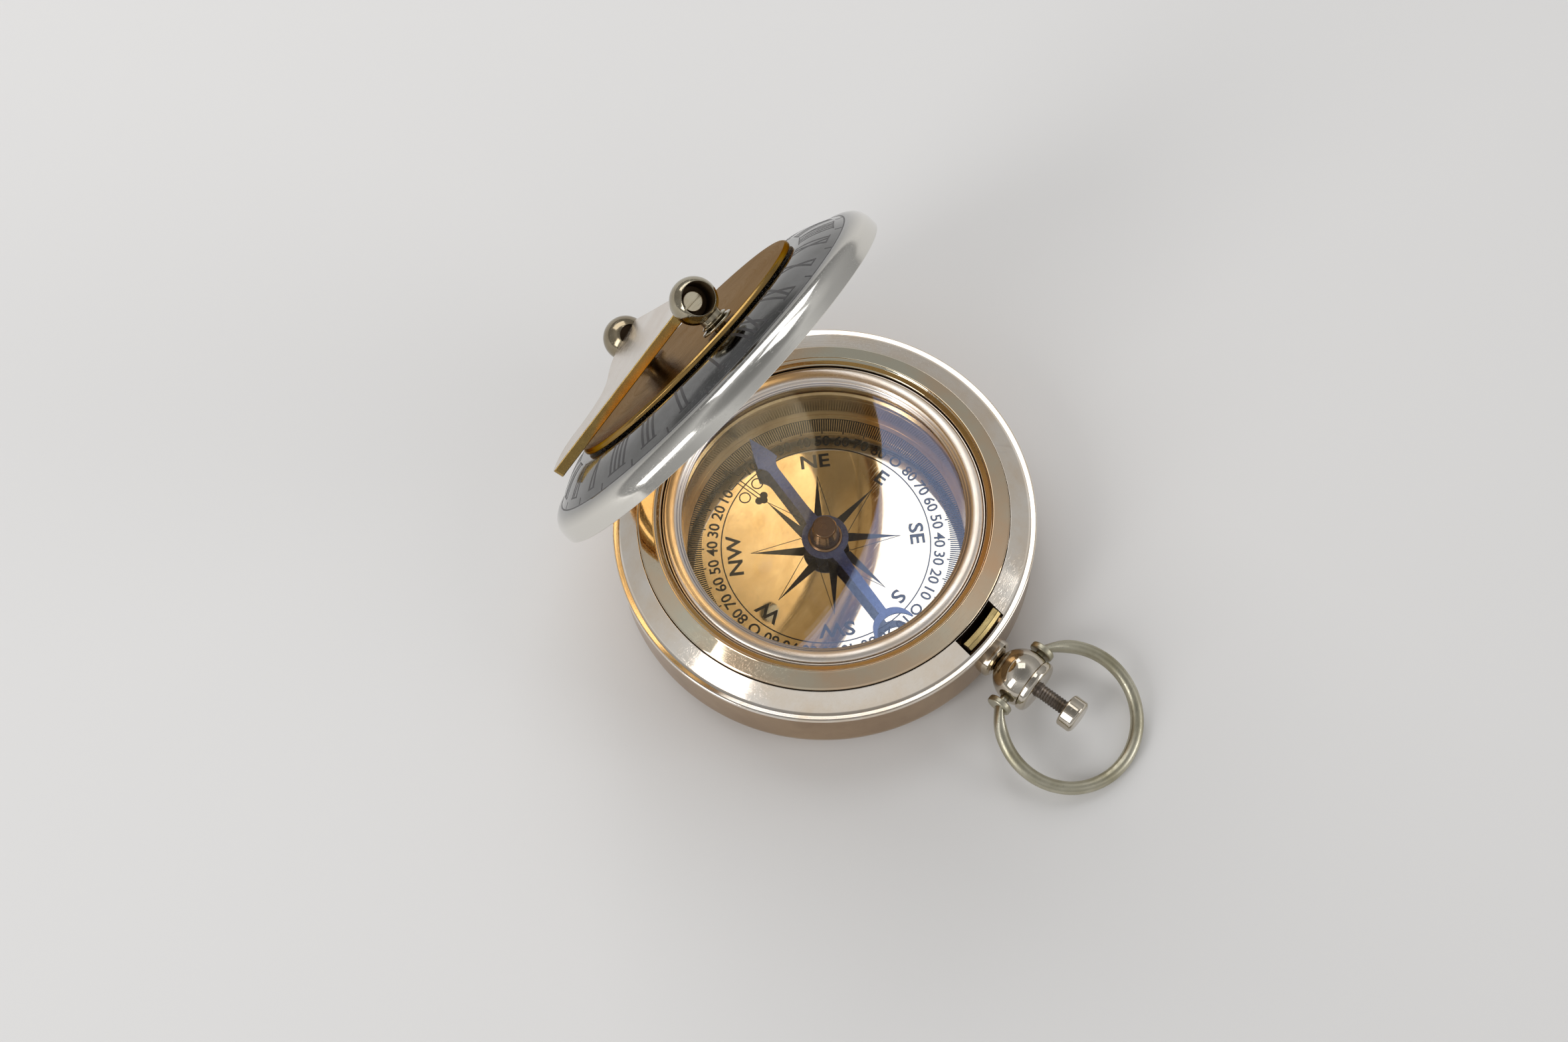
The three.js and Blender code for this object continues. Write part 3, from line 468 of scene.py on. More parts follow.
# Glass: a flat ground disc, 1 mm thick, slightly dusty where the bezel meets it. It lets lamps through,
# and mirrors a little of what stands over it.
clear_glass = bpy.data.materials.new("clear_glass")
tree = node_tree(clear_glass)
smear = noise(tree, object_place(tree), 160.0, 6.0, 0.7)
wiped = remap(tree, smear, 0.4, 0.75, 0.0, 0.06)
through = add_node(tree, "ShaderNodeBsdfTransparent", [("Color", (0.985, 0.99, 1.0, 1))])
mirror = add_node(tree, "ShaderNodeBsdfGlossy", [("Color", (0.52, 0.66, 1.0, 1)), ("Roughness", wiped)])
slant = add_node(tree, "ShaderNodeLayerWeight", [("Blend", 0.5)]).outputs["Facing"]
share = maths(tree, "MULTIPLY_ADD", maths(tree, "POWER", slant, 5.0), 0.9, 0.06)
pane = add_node(tree, "ShaderNodeMixShader", [(0, share), (1, through.outputs[0]), (2, mirror.outputs[0])])
add_node(tree, "ShaderNodeOutputMaterial", [("Surface", pane.outputs[0])])


def coat(name, finish):
    """Gives one of the frame's own pieces this finish in place of its plain one."""
    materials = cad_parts[name].data.materials
    materials.clear()
    materials.append(finish)


coat("glass", clear_glass)

# Inner wall: a turned ring between dial and glass, in warmer brass, stepped three times and left with
# deep lathe lines. It is pressed in over the dial's edge.
wall_brass = metal("wall_brass", (0.78, 0.56, 0.28), (0.50, 0.32, 0.13), 0.15, lathe=1.3, scratch=0.2)
wall_outline = rounded(
    [(19.7, 2.95), (20.85, 2.95), (20.85, 12.2), (20.4, 12.2), (20.4, 10.98), (20.1, 10.67), (20.1, 10.2),
     (20.02, 10.1), (20.1, 10.0), (20.1, 9.43), (19.7, 9.12), (19.7, 8.3), (19.78, 8.2), (19.7, 8.1)], 0.06)
wall = new_body("spacer_ring_turned", turned(wall_outline))
dress(wall, wall_brass, "case_body", "spacer_ring", slot="gold_brass")

# Dial: a flat disc of mirror-polished pale brass. The scale of single degrees, the figures, the compass
# letters, the ornament at north and the star of eight points are printed on it in black, a hundredth of
# a millimetre thick.
dial_brass = metal(
    "dial_brass", (0.96, 0.88, 0.72), (0.9, 0.78, 0.56), 0.03, lathe=0.0, scratch=0.4, pits=0.03,
    relief_depth=0.0000008
)
coat("dial_plate", dial_brass)
black_ink = bpy.data.materials.new("black_ink")
tree = node_tree(black_ink)
patchy = noise(tree, object_place(tree), 2200.0, 5.0, 0.7)
inked = ramp(tree, patchy, (0.4, (0.012, 0.011, 0.014)), (0.8, (0.05, 0.042, 0.036)))
surface(tree, inked, remap(tree, patchy, 0.3, 0.7, 0.28, 0.5), normal=bumped(tree, patchy, 0.3, 0.000004))
dial_top, ink_depth = 2.9, 0.012


def patch(outline):
    """A printed area inside an outline of (x, y). Like all print it reaches up to height 0."""
    return prism(np.array(outline, float), -ink_depth, 0)


def stroke(line, half):
    """A printed line of even width along an open path: its points moved half a width to each side."""
    p = np.array(line, float)
    way = np.gradient(p, axis=0)
    side = np.stack([-way[:, 1], way[:, 0]], -1) / np.linalg.norm(way, axis=1, keepdims=True) * half
    return patch(np.concatenate([p - side, (p + side)[::-1]]))


def bearing(degrees):
    """The directions outward and clockwise at a bearing: (sin b, cos b) and (cos b, -sin b)."""
    b = math.radians(degrees)
    return np.array([math.sin(b), math.cos(b)]), np.array([math.cos(b), -math.sin(b)])


def bars(lows, high, half, bearings):
    """Radial strokes, each from its own low radius to the high one at its bearing."""
    ways = [bearing(b)[0] for b in bearings]
    return together(*(stroke([way * low, way * high], half) for way, low in zip(ways, lows)))


def hoop(radius, half, steps=288):
    """A flat printed ring, half a width to each side of its radius."""
    inner, outer = radius - half, radius + half
    return turned(np.array([(inner, -ink_depth), (outer, -ink_depth), (outer, 0), (inner, 0)]), steps)


def lettering(words, weight, wide):
    """Each (text, size, x, y, turn) set flat with its middle at x, y, and widened: points and faces."""
    made = []
    for text, size, *_ in words:
        curve = bpy.data.curves.new("figure", "FONT")
        curve.body, curve.size, curve.resolution_u = text, size, 3
        curve.align_x, curve.align_y = "CENTER", "CENTER"
        curve.extrude, curve.offset = ink_depth / 2, weight
        made.append(bpy.data.objects.new("figure", curve))
        bpy.context.scene.collection.objects.link(made[-1])
    held = bpy.context.evaluated_depsgraph_get()
    parts = []
    for figure, (text, size, x, y, turn) in zip(made, words):
        mesh = figure.evaluated_get(held).to_mesh()
        points = np.empty(len(mesh.vertices) * 3)
        mesh.vertices.foreach_get("co", points)
        points = points.reshape(-1, 3)
        middle = (points.min(0) + points.max(0)) / 2
        points = (points - (*middle[:2], ink_depth / 2)) * (wide, 1, 1)
        c, s = math.cos(math.radians(turn)), math.sin(math.radians(turn))
        points = points @ np.array([[c, s, 0], [-s, c, 0], [0, 0, 1]]) + (x, y, 0)
        parts.append((points, [list(face.vertices) for face in mesh.polygons]))
        curve = figure.data
        bpy.data.objects.remove(figure)
        bpy.data.curves.remove(curve)
    return together(*parts)


def round_dial(words, radius, size, first, step):
    """Words set round a circle, tops outward, the first at a bearing and the rest a step clockwise of it."""
    spots = [first + step * i for i in range(len(words))]
    return [(word, size, *(bearing(b)[0] * radius), -b) for word, b in zip(words, spots)]


tick_end, figure_radius, letter_radius, star_radius = 18.95, 15.65, 12.6, 10.36
degrees = np.arange(360)
ticks = bars(np.where(degrees % 10 == 0, 16.75, 17.1), tick_end, 0.09, degrees)
quarter = ["O", "10", "20", "30", "40", "50", "60", "70", "80"]
half_round = quarter + quarter[:1] + quarter[:0:-1]
figures = round_dial(half_round * 2, figure_radius, 2.1, 0, 10)[1:]
letters = round_dial(["NE", "E", "SE", "S", "SW", "W", "NW"], letter_radius, 2.75, 45, 45)
prints = [ticks, hoop(14.4, 0.085), hoop(19.0, 0.05)]
prints += [lettering(figures, 0.035, 1.05), lettering(letters, 0.06, 1.2)]
for point in range(8):
    out, side = bearing(45 * point)
    tip, foot = out * star_radius, out * 2.4
    left, right = out * 3.3 - side * 1.3, out * 3.3 + side * 1.3
    prints.append(patch([foot, tip, left]))
    prints.append(stroke([foot, right, right * 0.5 + tip * 0.5, tip], 0.045))
for side in (-1, 1):
    points, faces = hoop(0.75, 0.09, 32)
    prints.append((points + (side * 1.35, 13.2, 0), faces))
    stem_and_arrow = (0.26, 11.6), (0.26, 15.4), (1.6, 15.4), (1.6, 15.95), (0.75, 15.95), (0.0, 18.3)
    corners = [(side * x, y) for x, y in stem_and_arrow]
    prints += [stroke(line, 0.075) for line in zip(corners, corners[1:])]
    prints.append(patch(arc(side * 0.52, 11.35, 0.55, 0, 360, 20)[:-1]))
prints.append(patch(arc(0, 10.85, 0.5, 0, 360, 20)[:-1]))
points, faces = together(*prints)
dial_print = new_body("dial_print", (points + (0, 0, dial_top + ink_depth), faces))
dress(dial_print, black_ink, "case_body", slot="dial_brass")

# Pivot post, hinge pin and the two springs inside: plain oiled steel. The post stands in the cup's boss,
# the lid spring lies behind the wall and the lock spring behind the latch.
dark_steel = metal("dark_steel", (0.2, 0.19, 0.18), (0.12, 0.1, 0.085), 0.32, lathe=0.6, scratch=0.6)
for name in ("pivot_post", "lid_spring", "lock_spring"):
    coat(name, dark_steel)


# Needle: thin spring steel, cut to an arrow and a crescent, and blued by heat, so that it is dark round
# the hub and turns blue toward both ends. It is riveted to its cap.
def slab(outline, low, high, edge=0.1, steps=3):
    """An anticlockwise outline raised from low to high. Each ring is the outline moved inward along its
    normal by edge (1 - cos a), at the height edge (1 - sin a) from the face, so both rims are rounded."""
    p = np.array(outline, float)
    way = np.roll(p, -1, 0) - np.roll(p, 1, 0)
    inward = np.stack([-way[:, 1], way[:, 0]], -1)
    inward = inward / np.maximum(np.linalg.norm(way, axis=1, keepdims=True), 1e-9)
    a = np.radians(np.linspace(0, 90, steps + 1))
    inset = np.concatenate([[0], edge * (1 - np.cos(a)), [1.6 * edge]])
    below = np.concatenate([[1.6 * edge], edge * (1 - np.sin(a)), [0]])
    inset = np.concatenate([inset[::-1], inset])
    height = np.concatenate([low + below[::-1], high - below])
    rings = p[None] + inward[None] * inset[:, None, None]
    level = np.broadcast_to(height[:, None, None], rings.shape[:2] + (1,))
    return tube(np.concatenate([rings, level], -1))


def legs(start, *steps):
    """Points from start along straight legs (end, count), which are even, and bent legs (pull, end,
    count) of (1-t)^2 start + 2t(1-t) pull + t^2 end. The very last point is left out."""
    points = []
    for *pull, end, count in steps:
        t = np.linspace(0, 1, count + 1)[:-1, None]
        a, b = np.array(start), np.array(end)
        if pull:
            points.append((1 - t) ** 2 * a + 2 * t * (1 - t) * np.array(pull[0]) + t**2 * b)
        else:
            points.append((1 - t) * a + t * b)
        start = end
    return np.concatenate(points)


needle_plane, needle_heading, needle_half, hub_radius = 5.5, -16.5, 0.15, 3.2
hub_edge = math.degrees(math.acos(0.92 / hub_radius))
inner_radius = (2.954**2 + 2.42**2) / (2 * 2.42)
right_side = np.concatenate([
    legs((0, 18.2), ((1.12, 15.8), (1.62, 13.8), 8), ((0.8, 13.3), (0.7, 12.2), 8), ((0.7, 6.0), 6),
         ((0.72, 4.2), (0.92, 3.065), 8)),
    arc(0, 0, hub_radius, hub_edge, -hub_edge, 32),
    legs((0.92, -3.065), ((0.72, -4.2), (0.7, -6.0), 8), ((0.6, -13.36), 6)),
    arc(0, -16.3, 3.0, 78.46, 0, 22),
    arc(0, -14.4 - inner_radius, inner_radius, 21.6, 90, 18),
])
left_side = right_side[::-1][1:-1] * (-1, 1)
needle_outline = np.concatenate([right_side, left_side])[::-1]
needle = new_body("needle_blade", slab(needle_outline, -needle_half, needle_half, 0.04))
carve(needle, rod(1.35, -1, 1))
heading = Matrix.Rotation(math.radians(needle_heading), 4, "Z")
needle.data.transform(Matrix.Translation((0, 0, needle_plane / 1000)) @ heading)
blue_steel = bpy.data.materials.new("blue_steel")
tree = node_tree(blue_steel)
local = mapped(tree, object_place(tree), (1000, 1000, 0))
wander = noise(tree, local, 0.9, 4.0, 0.6)
heat = maths(tree, "DIVIDE", maths(tree, "MULTIPLY_ADD", wander, 2.6, length_of(tree, local)), 20.0)
blued = ramp(
    tree, heat, (0.12, (0.16, 0.19, 0.34)), (0.3, (0.06, 0.07, 0.16)), (0.45, (0.08, 0.12, 0.34)),
    (0.62, (0.15, 0.24, 0.60)), (1.0, (0.20, 0.30, 0.70))
)
grain = bumped(tree, noise(tree, local, 14.0, 3.0, 0.7), 0.25, 0.000006)
surface(tree, blued, remap(tree, wander, 0.3, 0.7, 0.2, 0.35), 0.15, grain)
dress(needle, blue_steel, "needle_body", "needle", slot="blue_steel")

# Needle cap: a tall tapered cap of bronze with a flat dark top and a small foot flange. It is drilled
# from below to a cone and hangs on the post's point.
bronze = metal("bronze", (0.50, 0.29, 0.15), (0.34, 0.19, 0.10), 0.2, lathe=1.0, scratch=0.3, pits=0.1)
dark_bronze = metal(
    "dark_bronze", (0.2, 0.13, 0.1), (0.13, 0.085, 0.065), 0.28, lathe=0.8, scratch=0.3, pits=0.1
)
cap_outline = rounded(
    [(0, 8.15), (0.95, 6.8), (0.95, 5.25), (1.25, 5.25), (1.25, 5.7), (2.35, 5.7), (2.35, 5.9), (2.08, 6.03),
     (2.05, 6.3), (1.66, 9.06), (1.5, 9.25), (0, 9.25)],
    [0, 0.05, 0.05, 0.05, 0.03, 0.08, 0.08, 0.08, 0.08, 0.12, 0.05, 0])
cap = new_body("needle_cap_turned", turned(cap_outline, 96))
dress(cap, bronze, "needle_body", "needle_cap", slot="bronze")
also(cap, dark_bronze, lambda at, way: (at[:, 2] > 9.2) & (way[:, 2] > 0.9))

# Hinge: two knuckles with feet in the case's pocket, one knuckle with a leaf on the lid's flat wall,
# and a steel pin. The leaf comes to rest on the cup's edge and so stops the lid.
lid_opening = 62.0
hinge_brass = metal("hinge_brass", (0.84, 0.74, 0.55), (0.62, 0.5, 0.3), 0.2, lathe=0.2, scratch=0.5)


def turn_x(points, degrees):
    """Points turned about X: y cos a - z sin a and y sin a + z cos a."""
    c, s = math.cos(math.radians(degrees)), math.sin(math.radians(degrees))
    x, y, z = points.T
    return np.stack([x, y * c - z * s, y * s + z * c], -1)


def on_lid(part):
    """A part made about the lid's own axis, heights from the hinge, swung open and set on the hinge."""
    points, faces = part
    return turn_x(points - (0, hinge_y, 0), -lid_opening) + (0, hinge_y, hinge_z), faces


def along_x(part, shift, side=1):
    """A part made about Z laid along X, its height running toward side times X, and then shifted."""
    points, faces = part
    return points[:, [2, 0, 1]] * (side, 1, 1) + shift, faces


knuckle, knuckle_foot = 1.15, pocket_floor + 0.05 - hinge_z
knuckle_outline = np.concatenate([
    legs((-knuckle, knuckle_foot), ((knuckle, knuckle_foot), 4), ((knuckle, 0), 4)),
    arc(0, 0, knuckle, 0, 180, 24),
    legs((-knuckle, 0), ((-knuckle, knuckle_foot), 4))[1:],
])
for side, name in ((-1, "left"), (1, "right")):
    low, high = sorted((side * 1.9, side * 5.0))
    bar = along_x(slab(knuckle_outline, low, high, 0.08), (0, hinge_y, hinge_z))
    case_knuckle = new_body(f"hinge_knuckle_{name}", bar)
    dress(case_knuckle, hinge_brass, "case_body", f"case_knuckle_{name}", slot="case_brass")
leaf_outline = np.concatenate([
    arc(0, 0, knuckle, 180, 360, 24),
    legs((knuckle, 0), ((knuckle, 2.4), 4), ((knuckle, 3.6), (0, 3.6), 10), ((0, knuckle), 5))[1:],
    arc(0, 0, knuckle, 90, 180, 12)[:-1],
])
leaf = along_x(slab(leaf_outline, -1.7, 1.7, 0.08), (0, hinge_y, 0))
lid_knuckle = new_body("lid_knuckle_leaf", on_lid(leaf))
dress(lid_knuckle, hinge_brass, "lid_body", "lid_knuckle", slot="case_brass")
pin = new_body("hinge_pin_rod", along_x(rod(0.5, -5, 5, ease=0.1), (0, hinge_y, hinge_z)))
dress(pin, dark_steel, "case_body", "hinge_pin", slot="dark_steel")

# Lid shell: a shallow dome pressed from brass, dark silver-grey outside and golden inside. Its rounded
# shoulder carries a painted highlight, a pale band. The rear wall is flat for the hinge leaf, and the front
# edge has a lip inside.
shoulder_turn = np.radians(np.linspace(0, 90, 25))
dome_share = np.linspace(0, 1, 25)[1:]


def lid_side(offset):
    """Outside of the lid, moved in by offset: a quarter ellipse from the wall to the shoulder, then a
    quarter sine from the shoulder up to the flat crown."""
    wall, line, crown_edge = 27.94 - offset, 25.64 - 0.4 * offset, 19
    start, shoulder, crown = 3.0, 5.46 - offset, 7.7 - offset
    lower_r = line + (wall - line) * np.cos(shoulder_turn)
    lower_h = start + (shoulder - start) * np.sin(shoulder_turn)
    upper_r = line + (crown_edge - line) * dome_share
    upper_h = shoulder + (crown - shoulder) * np.sin(dome_share * np.pi / 2)
    return np.concatenate([np.stack([lower_r, lower_h], -1), np.stack([upper_r, upper_h], -1), [(0, crown)]])


shell_outer = lid_side(0)
shell_outline = np.concatenate([[(0, 1.9), (27.86, 1.9), (27.94, 1.98), (27.94, 2.1)], shell_outer])
hollow_outline = np.concatenate([
    [(0, 0.9), (27.72, 0.9), (27.72, 1.9), (27.36, 2.3), (27.34, 2.4)], lid_side(0.6)
])
shell = new_body("lid_shell_dome", turned(shell_outline))
carve(shell, block((-30, 26.1, -5), (30, 32, 20)))
hollow = new_body("lid_hollow", turned(hollow_outline))
carve(hollow, block((-30, 25.5, -5), (30, 32, 20)))
cut_out(shell, hollow)
opened = Matrix.Rotation(math.radians(-lid_opening), 4, "X")
to_hinge = Matrix.Translation((0, hinge_y / 1000, hinge_z / 1000))
swing = to_hinge @ opened @ Matrix.Translation((0, -hinge_y / 1000, 0))
shell.data.transform(swing)
lid_back = Matrix.Rotation(math.radians(lid_opening), 3, "X")
lid_shift = tuple(Vector((0, hinge_y, 0)) - lid_back @ Vector((0, hinge_y, hinge_z)))
lid_axis = ((math.radians(lid_opening), 0, 0), lid_shift)
# The pale band from radius 25.8 to 27.7 is a painted highlight on the shoulder.
lid_silver = metal(
    "lid_silver", (0.17, 0.17, 0.17), (0.11, 0.11, 0.105), 0.08, lathe=0.25, scratch=0.3, axis=lid_axis,
    highlight_band=(25.8, 27.7, (0.74, 0.72, 0.67))
)
lid_gold = metal(
    "lid_gold", (0.66, 0.44, 0.20), (0.50, 0.31, 0.12), 0.12, lathe=0.3, scratch=0.3, axis=lid_axis
)
dress(shell, lid_silver, "lid_body", "lid_shell", slot="case_brass")


def off_lid(points):
    """The opposite of on_lid: points of the swung lid back about its own axis."""
    return turn_x(points - (0, hinge_y, hinge_z), lid_opening) + (0, hinge_y, 0)


def dome_height(radius):
    """Height of the dome's outside at a radius, read off its outline."""
    order = np.argsort(shell_outer[:, 0])
    return np.interp(radius, shell_outer[order, 0], shell_outer[order, 1])


def within_lid(at, way):
    """Faces of the hollow: their middles lie under the outside by more than a third of the wall."""
    place = off_lid(at)
    radius = np.hypot(place[:, 0], place[:, 1])
    return (place[:, 2] < dome_height(radius) - 0.25) & (radius < 27.8) & (place[:, 1] < 25.9)


also(shell, lid_gold, within_lid)
lip = new_body("lid_lip", on_lid(slot_tool(26.95, 27.64, 3.0, 1.98, 2.28)))
dress(lip, hinge_brass, "lid_body", slot="case_brass")


# Hour ring: a thin line round the shoulder, hour strokes and numerals engraved on the dome and filled
# with black wax, which follow the dome's curve.
def on_dome(part, lift=0.012):
    """Flat print laid on the dome: each point keeps x and y and takes the dome's height at its radius."""
    x, y, z = part[0].T
    return np.stack([x, y, z + dome_height(np.hypot(x, y)) + lift], -1), part[1]


def pen(lines, half, steps=10):
    """Straight strokes from (x, y) to (x, y), each a flat bar half as wide to each side and cut into equal
    short lengths, so that it can follow a curve."""
    parts = []
    for start, end in np.array(lines, float):
        way = end - start
        side = np.array([-way[1], way[0]]) / np.linalg.norm(way) * half
        middle = start + np.linspace(0, 1, steps + 1)[:, None] * way
        section = np.stack([middle + side, middle - side, middle - side, middle + side], 1)
        level = np.broadcast_to(np.array([-0.05, -0.05, 0, 0])[:, None], (steps + 1, 4, 1))
        parts.append(tube(np.concatenate([section, level], -1)))
    return together(*parts)


def numeral(name, height=4.5):
    """The strokes of a Roman numeral about its middle: thick ones for its letters, thin ones for serifs."""
    widths, lean, top = {"I": 0.95, "V": 1.75, "X": 1.75}, 0.65, height / 2
    reach, x = sum(widths[letter] for letter in name) / 2, 0.0
    strokes = []
    for letter in name:
        middle, x = x + widths[letter] / 2 - reach, x + widths[letter]
        left, right = middle - lean, middle + lean
        shapes = {
            "I": [((middle, -top), (middle, top))],
            "V": [((left, top), (middle, -top)), ((middle, -top), (right, top))],
            "X": [((left, top), (right, -top)), ((left, -top), (right, top))],
        }
        strokes += shapes[letter]
    return strokes, [((-reach, level), (reach, level)) for level in (-top, top)]


hour_names = "IIII V VI VII VIII IX X XI XII I II III IIII V VI VII VIII".split()
first_hour, hour_step, numeral_radius = 60, 15, 22.1
thick, thin = [], []
for place, name in enumerate(hour_names):
    out, across = bearing(first_hour + hour_step * place)
    for lines, kept in zip(numeral(name), (thick, thin)):
        kept += [[across * x + out * (numeral_radius + y) for x, y in line] for line in lines]
hours = [on_dome(pen(thick, 0.21)), on_dome(pen(thin, 0.09))]
half_hours = first_hour + hour_step * (np.arange(16) + 0.5)
hours.append(on_dome(bars([24.7] * 16, 25.5, 0.12, half_hours)))
hours.append(on_dome(hoop(25.64, 0.1)))
hour_print = new_body("hour_ring_print", on_lid(together(*hours)))
dress(hour_print, black_ink, "lid_body", slot="dull_brass")

# Hour plate: a flat brass disc riveted on the crown, with a broken edge. It stands a card's thickness
# off the dome.
plate_brass = metal(
    "plate_brass", (0.36, 0.23, 0.08), (0.29, 0.175, 0.055), 0.16, lathe=0.5, scratch=0.5, axis=lid_axis
)
plate_outline = rounded([(0, 8.0), (18.5, 8.0), (18.5, 8.45), (18.25, 8.7), (0, 8.7)], 0.08)
plate = new_body("hour_plate_disc", on_lid(turned(plate_outline)))
plate_brass.node_tree.nodes["Principled BSDF"].inputs["Specular Tint"].default_value = (0.4, 0.26, 0.1, 1)
dress(plate, plate_brass, "lid_body", "hour_plate", slot="case_brass")

# Ball posts: turned from one bar each, with a foot, a ringed neck and a ball that is drilled and
# counterbored for the pivot screw. Their tails are riveted inside the lid.
post_brass = metal(
    "post_brass", (0.40, 0.36, 0.27), (0.24, 0.19, 0.12), 0.1, lathe=0.3, scratch=0.5, pits=0.3
)
post_outline = rounded(
    [(0, 6.4), (1.4, 6.4), (1.6, 6.8), (0.9, 6.8), (0.9, 9.0), (2.3, 9.0), (2.3, 9.3), (1.5, 9.45),
     (1.9, 9.6), (1.9, 9.75), (1.5, 9.9), (1.5, 10.9), (0, 10.9)],
    [0, 0.05, 0.05, 0, 0, 0.12, 0.12, 0.08, mid_side, mid_side, 0.08, 0, 0])
pin_level, post_reach, ball_radius = 13.1, 15.4, 3.0
to_pin = Matrix.Translation((0, 0, pin_level / 1000))
ball_angle = math.degrees(math.asin(2.2 / ball_radius))
ball_outline = np.concatenate([
    [(0, -2.3), (1.4, -2.3), (1.46, -2.5)],
    arc(0, 0, ball_radius, -60, 90 - ball_angle, 40),
    [(2.12, 2.05), (2.1, 1.95), (2.1, -1.2), (2.0, -1.3), (0, -1.3)],
])


def in_bore(place, side):
    """Faces of the counterbore and of the shallow recess on the other side: close about the pin line."""
    away, out = np.hypot(place[:, 0], place[:, 2] - pin_level), side * place[:, 1]
    return ((away < 2.115) & (out > 13.4)) | ((away < 1.47) & (out < 13.2))


for side, name in ((-1, "near"), (1, "far")):
    ball = along_y(turned(ball_outline, 96), (0, 0, pin_level), side)
    points, faces = together(turned(post_outline, 96), ball)
    post = new_body(f"post_{name}_turned", on_lid((points + (0, side * post_reach, 0), faces)))
    dress(post, post_brass, "lid_body", f"post_{name}", slot="dull_brass")
    # The counterbore and the recess behind it are painted near-black as shade.
    also(post, painted_shade_brass, lambda at, way: in_bore(off_lid(at), side))

# Pivot screws: light brass heads sunk in the balls, slotted for a driver, with thin shanks that enter
# the gnomon's edges.
screw_brass = metal("screw_brass", (0.86, 0.78, 0.6), (0.66, 0.55, 0.36), 0.2, lathe=0.5, scratch=0.5)
screw_outline = rounded(
    [(0, 9.95), (0.4, 9.95), (0.4, 13.7), (1.3, 13.7), (1.3, 15.15), (0, 15.15)],
    [0, 0.08, 0.03, 0.08, 0.15, 0])
for side, name in ((-1, "near"), (1, "far")):
    screw = new_body(f"pivot_screw_{name}_turned", turned(screw_outline, 64))
    carve(screw, block((-2, -0.17, 14.75), (2, 0.17, 16)))
    screw.data.transform(swing @ to_pin @ Matrix.Rotation(math.radians(-90 * side), 4, "X"))
    dress(screw, screw_brass, "lid_body", f"pivot_screw_{name}", slot="gold_brass")

# Gnomon: a plate of golden brass sawn to its swan-necked outline and filed smooth. Its upturned broad face
# is painted pale as a highlight. It turns on the two screws and lies folded on the hour plate's edge.
gnomon_fold = 10.914
gnomon_outline = legs(
    (-1.3, -12.1), ((3.2, -12.1), 6), ((5.2, -11.1), (7.0, -8.7), 12), ((9.6, -4.6), (11.5, -4.7), 14),
    ((14.0, -5.0), (16.0, -7.0), 12), ((18.2, -8.9), (19.8, -8.2), 12), ((22.0, -7.4), (22.4, -6.2), 10),
    ((22.4, -5.7), (21.8, -5.5), 6), ((3.0, 10.9), 24), ((2.0, 12.1), (0.8, 12.1), 10),
    ((-1.3, 12.1), 4), ((-1.9, 12.1), (-1.9, 11.5), 6), ((-1.9, -11.5), 20),
    ((-1.9, -12.1), (-1.3, -12.1), 6),
)
gnomon = new_body("gnomon_plate", slab(gnomon_outline, -0.7, 0.7, 0.1))
carve(gnomon, *(along_y(rod(0.47, -1.2, 1.6, 32), (0, side * 10.9, 0), side) for side in (-1, 1)))
fold = to_pin @ Matrix.Rotation(math.radians(-gnomon_fold), 4, "Y")
gnomon.data.transform(swing @ fold @ Matrix.Rotation(math.pi, 4, "Z"))
gnomon_brass = metal(
    "gnomon_brass", (0.52, 0.36, 0.13), (0.30, 0.19, 0.06), 0.2, lathe=0.1, scratch=0.6, pits=0.35
)
# A pale copy of the brass for the upturned broad face: a painted highlight.
gnomon_painted_highlight = metal(
    "gnomon_painted_highlight", (0.76, 0.71, 0.65), (0.68, 0.60, 0.52), 0.16, lathe=0.0, scratch=0.6, pits=0.3
)
dress(gnomon, gnomon_brass, "gnomon_body", "gnomon", slot="gold_brass")
highlight_way = np.array((swing.to_3x3() @ fold.to_3x3()) @ Vector((0, 0, 1)))
also(gnomon, gnomon_painted_highlight, lambda at, way: way @ highlight_way > 0.9)

# Pendant: a turned neck soldered to the case's side and a ball on it, with a raised collar and a flat
# face toward the knob. Both are polished to a silvery shine.
stem_back = Matrix.Rotation(math.radians(90), 3, "X")
stem_axis = ((math.radians(90), 0, 0), tuple(-(stem_back @ Vector((0, 0, stem_height)))))
stem_silver = metal(
    "stem_silver", (0.66, 0.61, 0.53), (0.46, 0.38, 0.27), 0.06, lathe=0.2, scratch=0.4, axis=stem_axis
)
neck_outline = rounded(
    [(1.08, 28.1), (2.7, 28.1), (2.7, 29.1), (2.25, 29.45), (1.9, 29.45), (1.4, 29.58), (1.08, 29.58)], 0.08)
neck = new_body("pendant_neck_turned", along_stem(turned(neck_outline, 96)))
dress(neck, stem_silver, "case_body", "pendant_neck", slot="case_brass")
pendant_centre, pendant_radius, pendant_foot = 33.2, 3.85, 29.61
ball_start = math.degrees(math.atan2(pendant_foot - pendant_centre, 1.4))
ball_end = math.degrees(math.asin(1.5 / pendant_radius))
collar_outline = rounded(
    [(3.45, 34.72), (3.58, 34.8), (3.7, 34.88), (3.7, 35.5), (3.5, 35.82), (3.2, 35.98), (2.9, 36.0),
     (1.08, 36.0)],
    [0.03, 0.03, 0.1, 0.2, 0.1, 0.1, 0.1, 0.05])
pendant_outline = np.concatenate([
    arc(0, pendant_centre, pendant_radius, ball_start, ball_end, 40), collar_outline, [(1.08, pendant_foot)]
])
pendant = new_body("pendant_ball_turned", along_stem(turned(pendant_outline, 144)))
pin_bore = rod(0.67, 1.45, 5, 32)
carve(pendant, *(along_x(pin_bore, (0, -pendant_centre, stem_height), side) for side in (-1, 1)))
dress(pendant, stem_silver, "case_body", "pendant_ball", slot="case_brass")


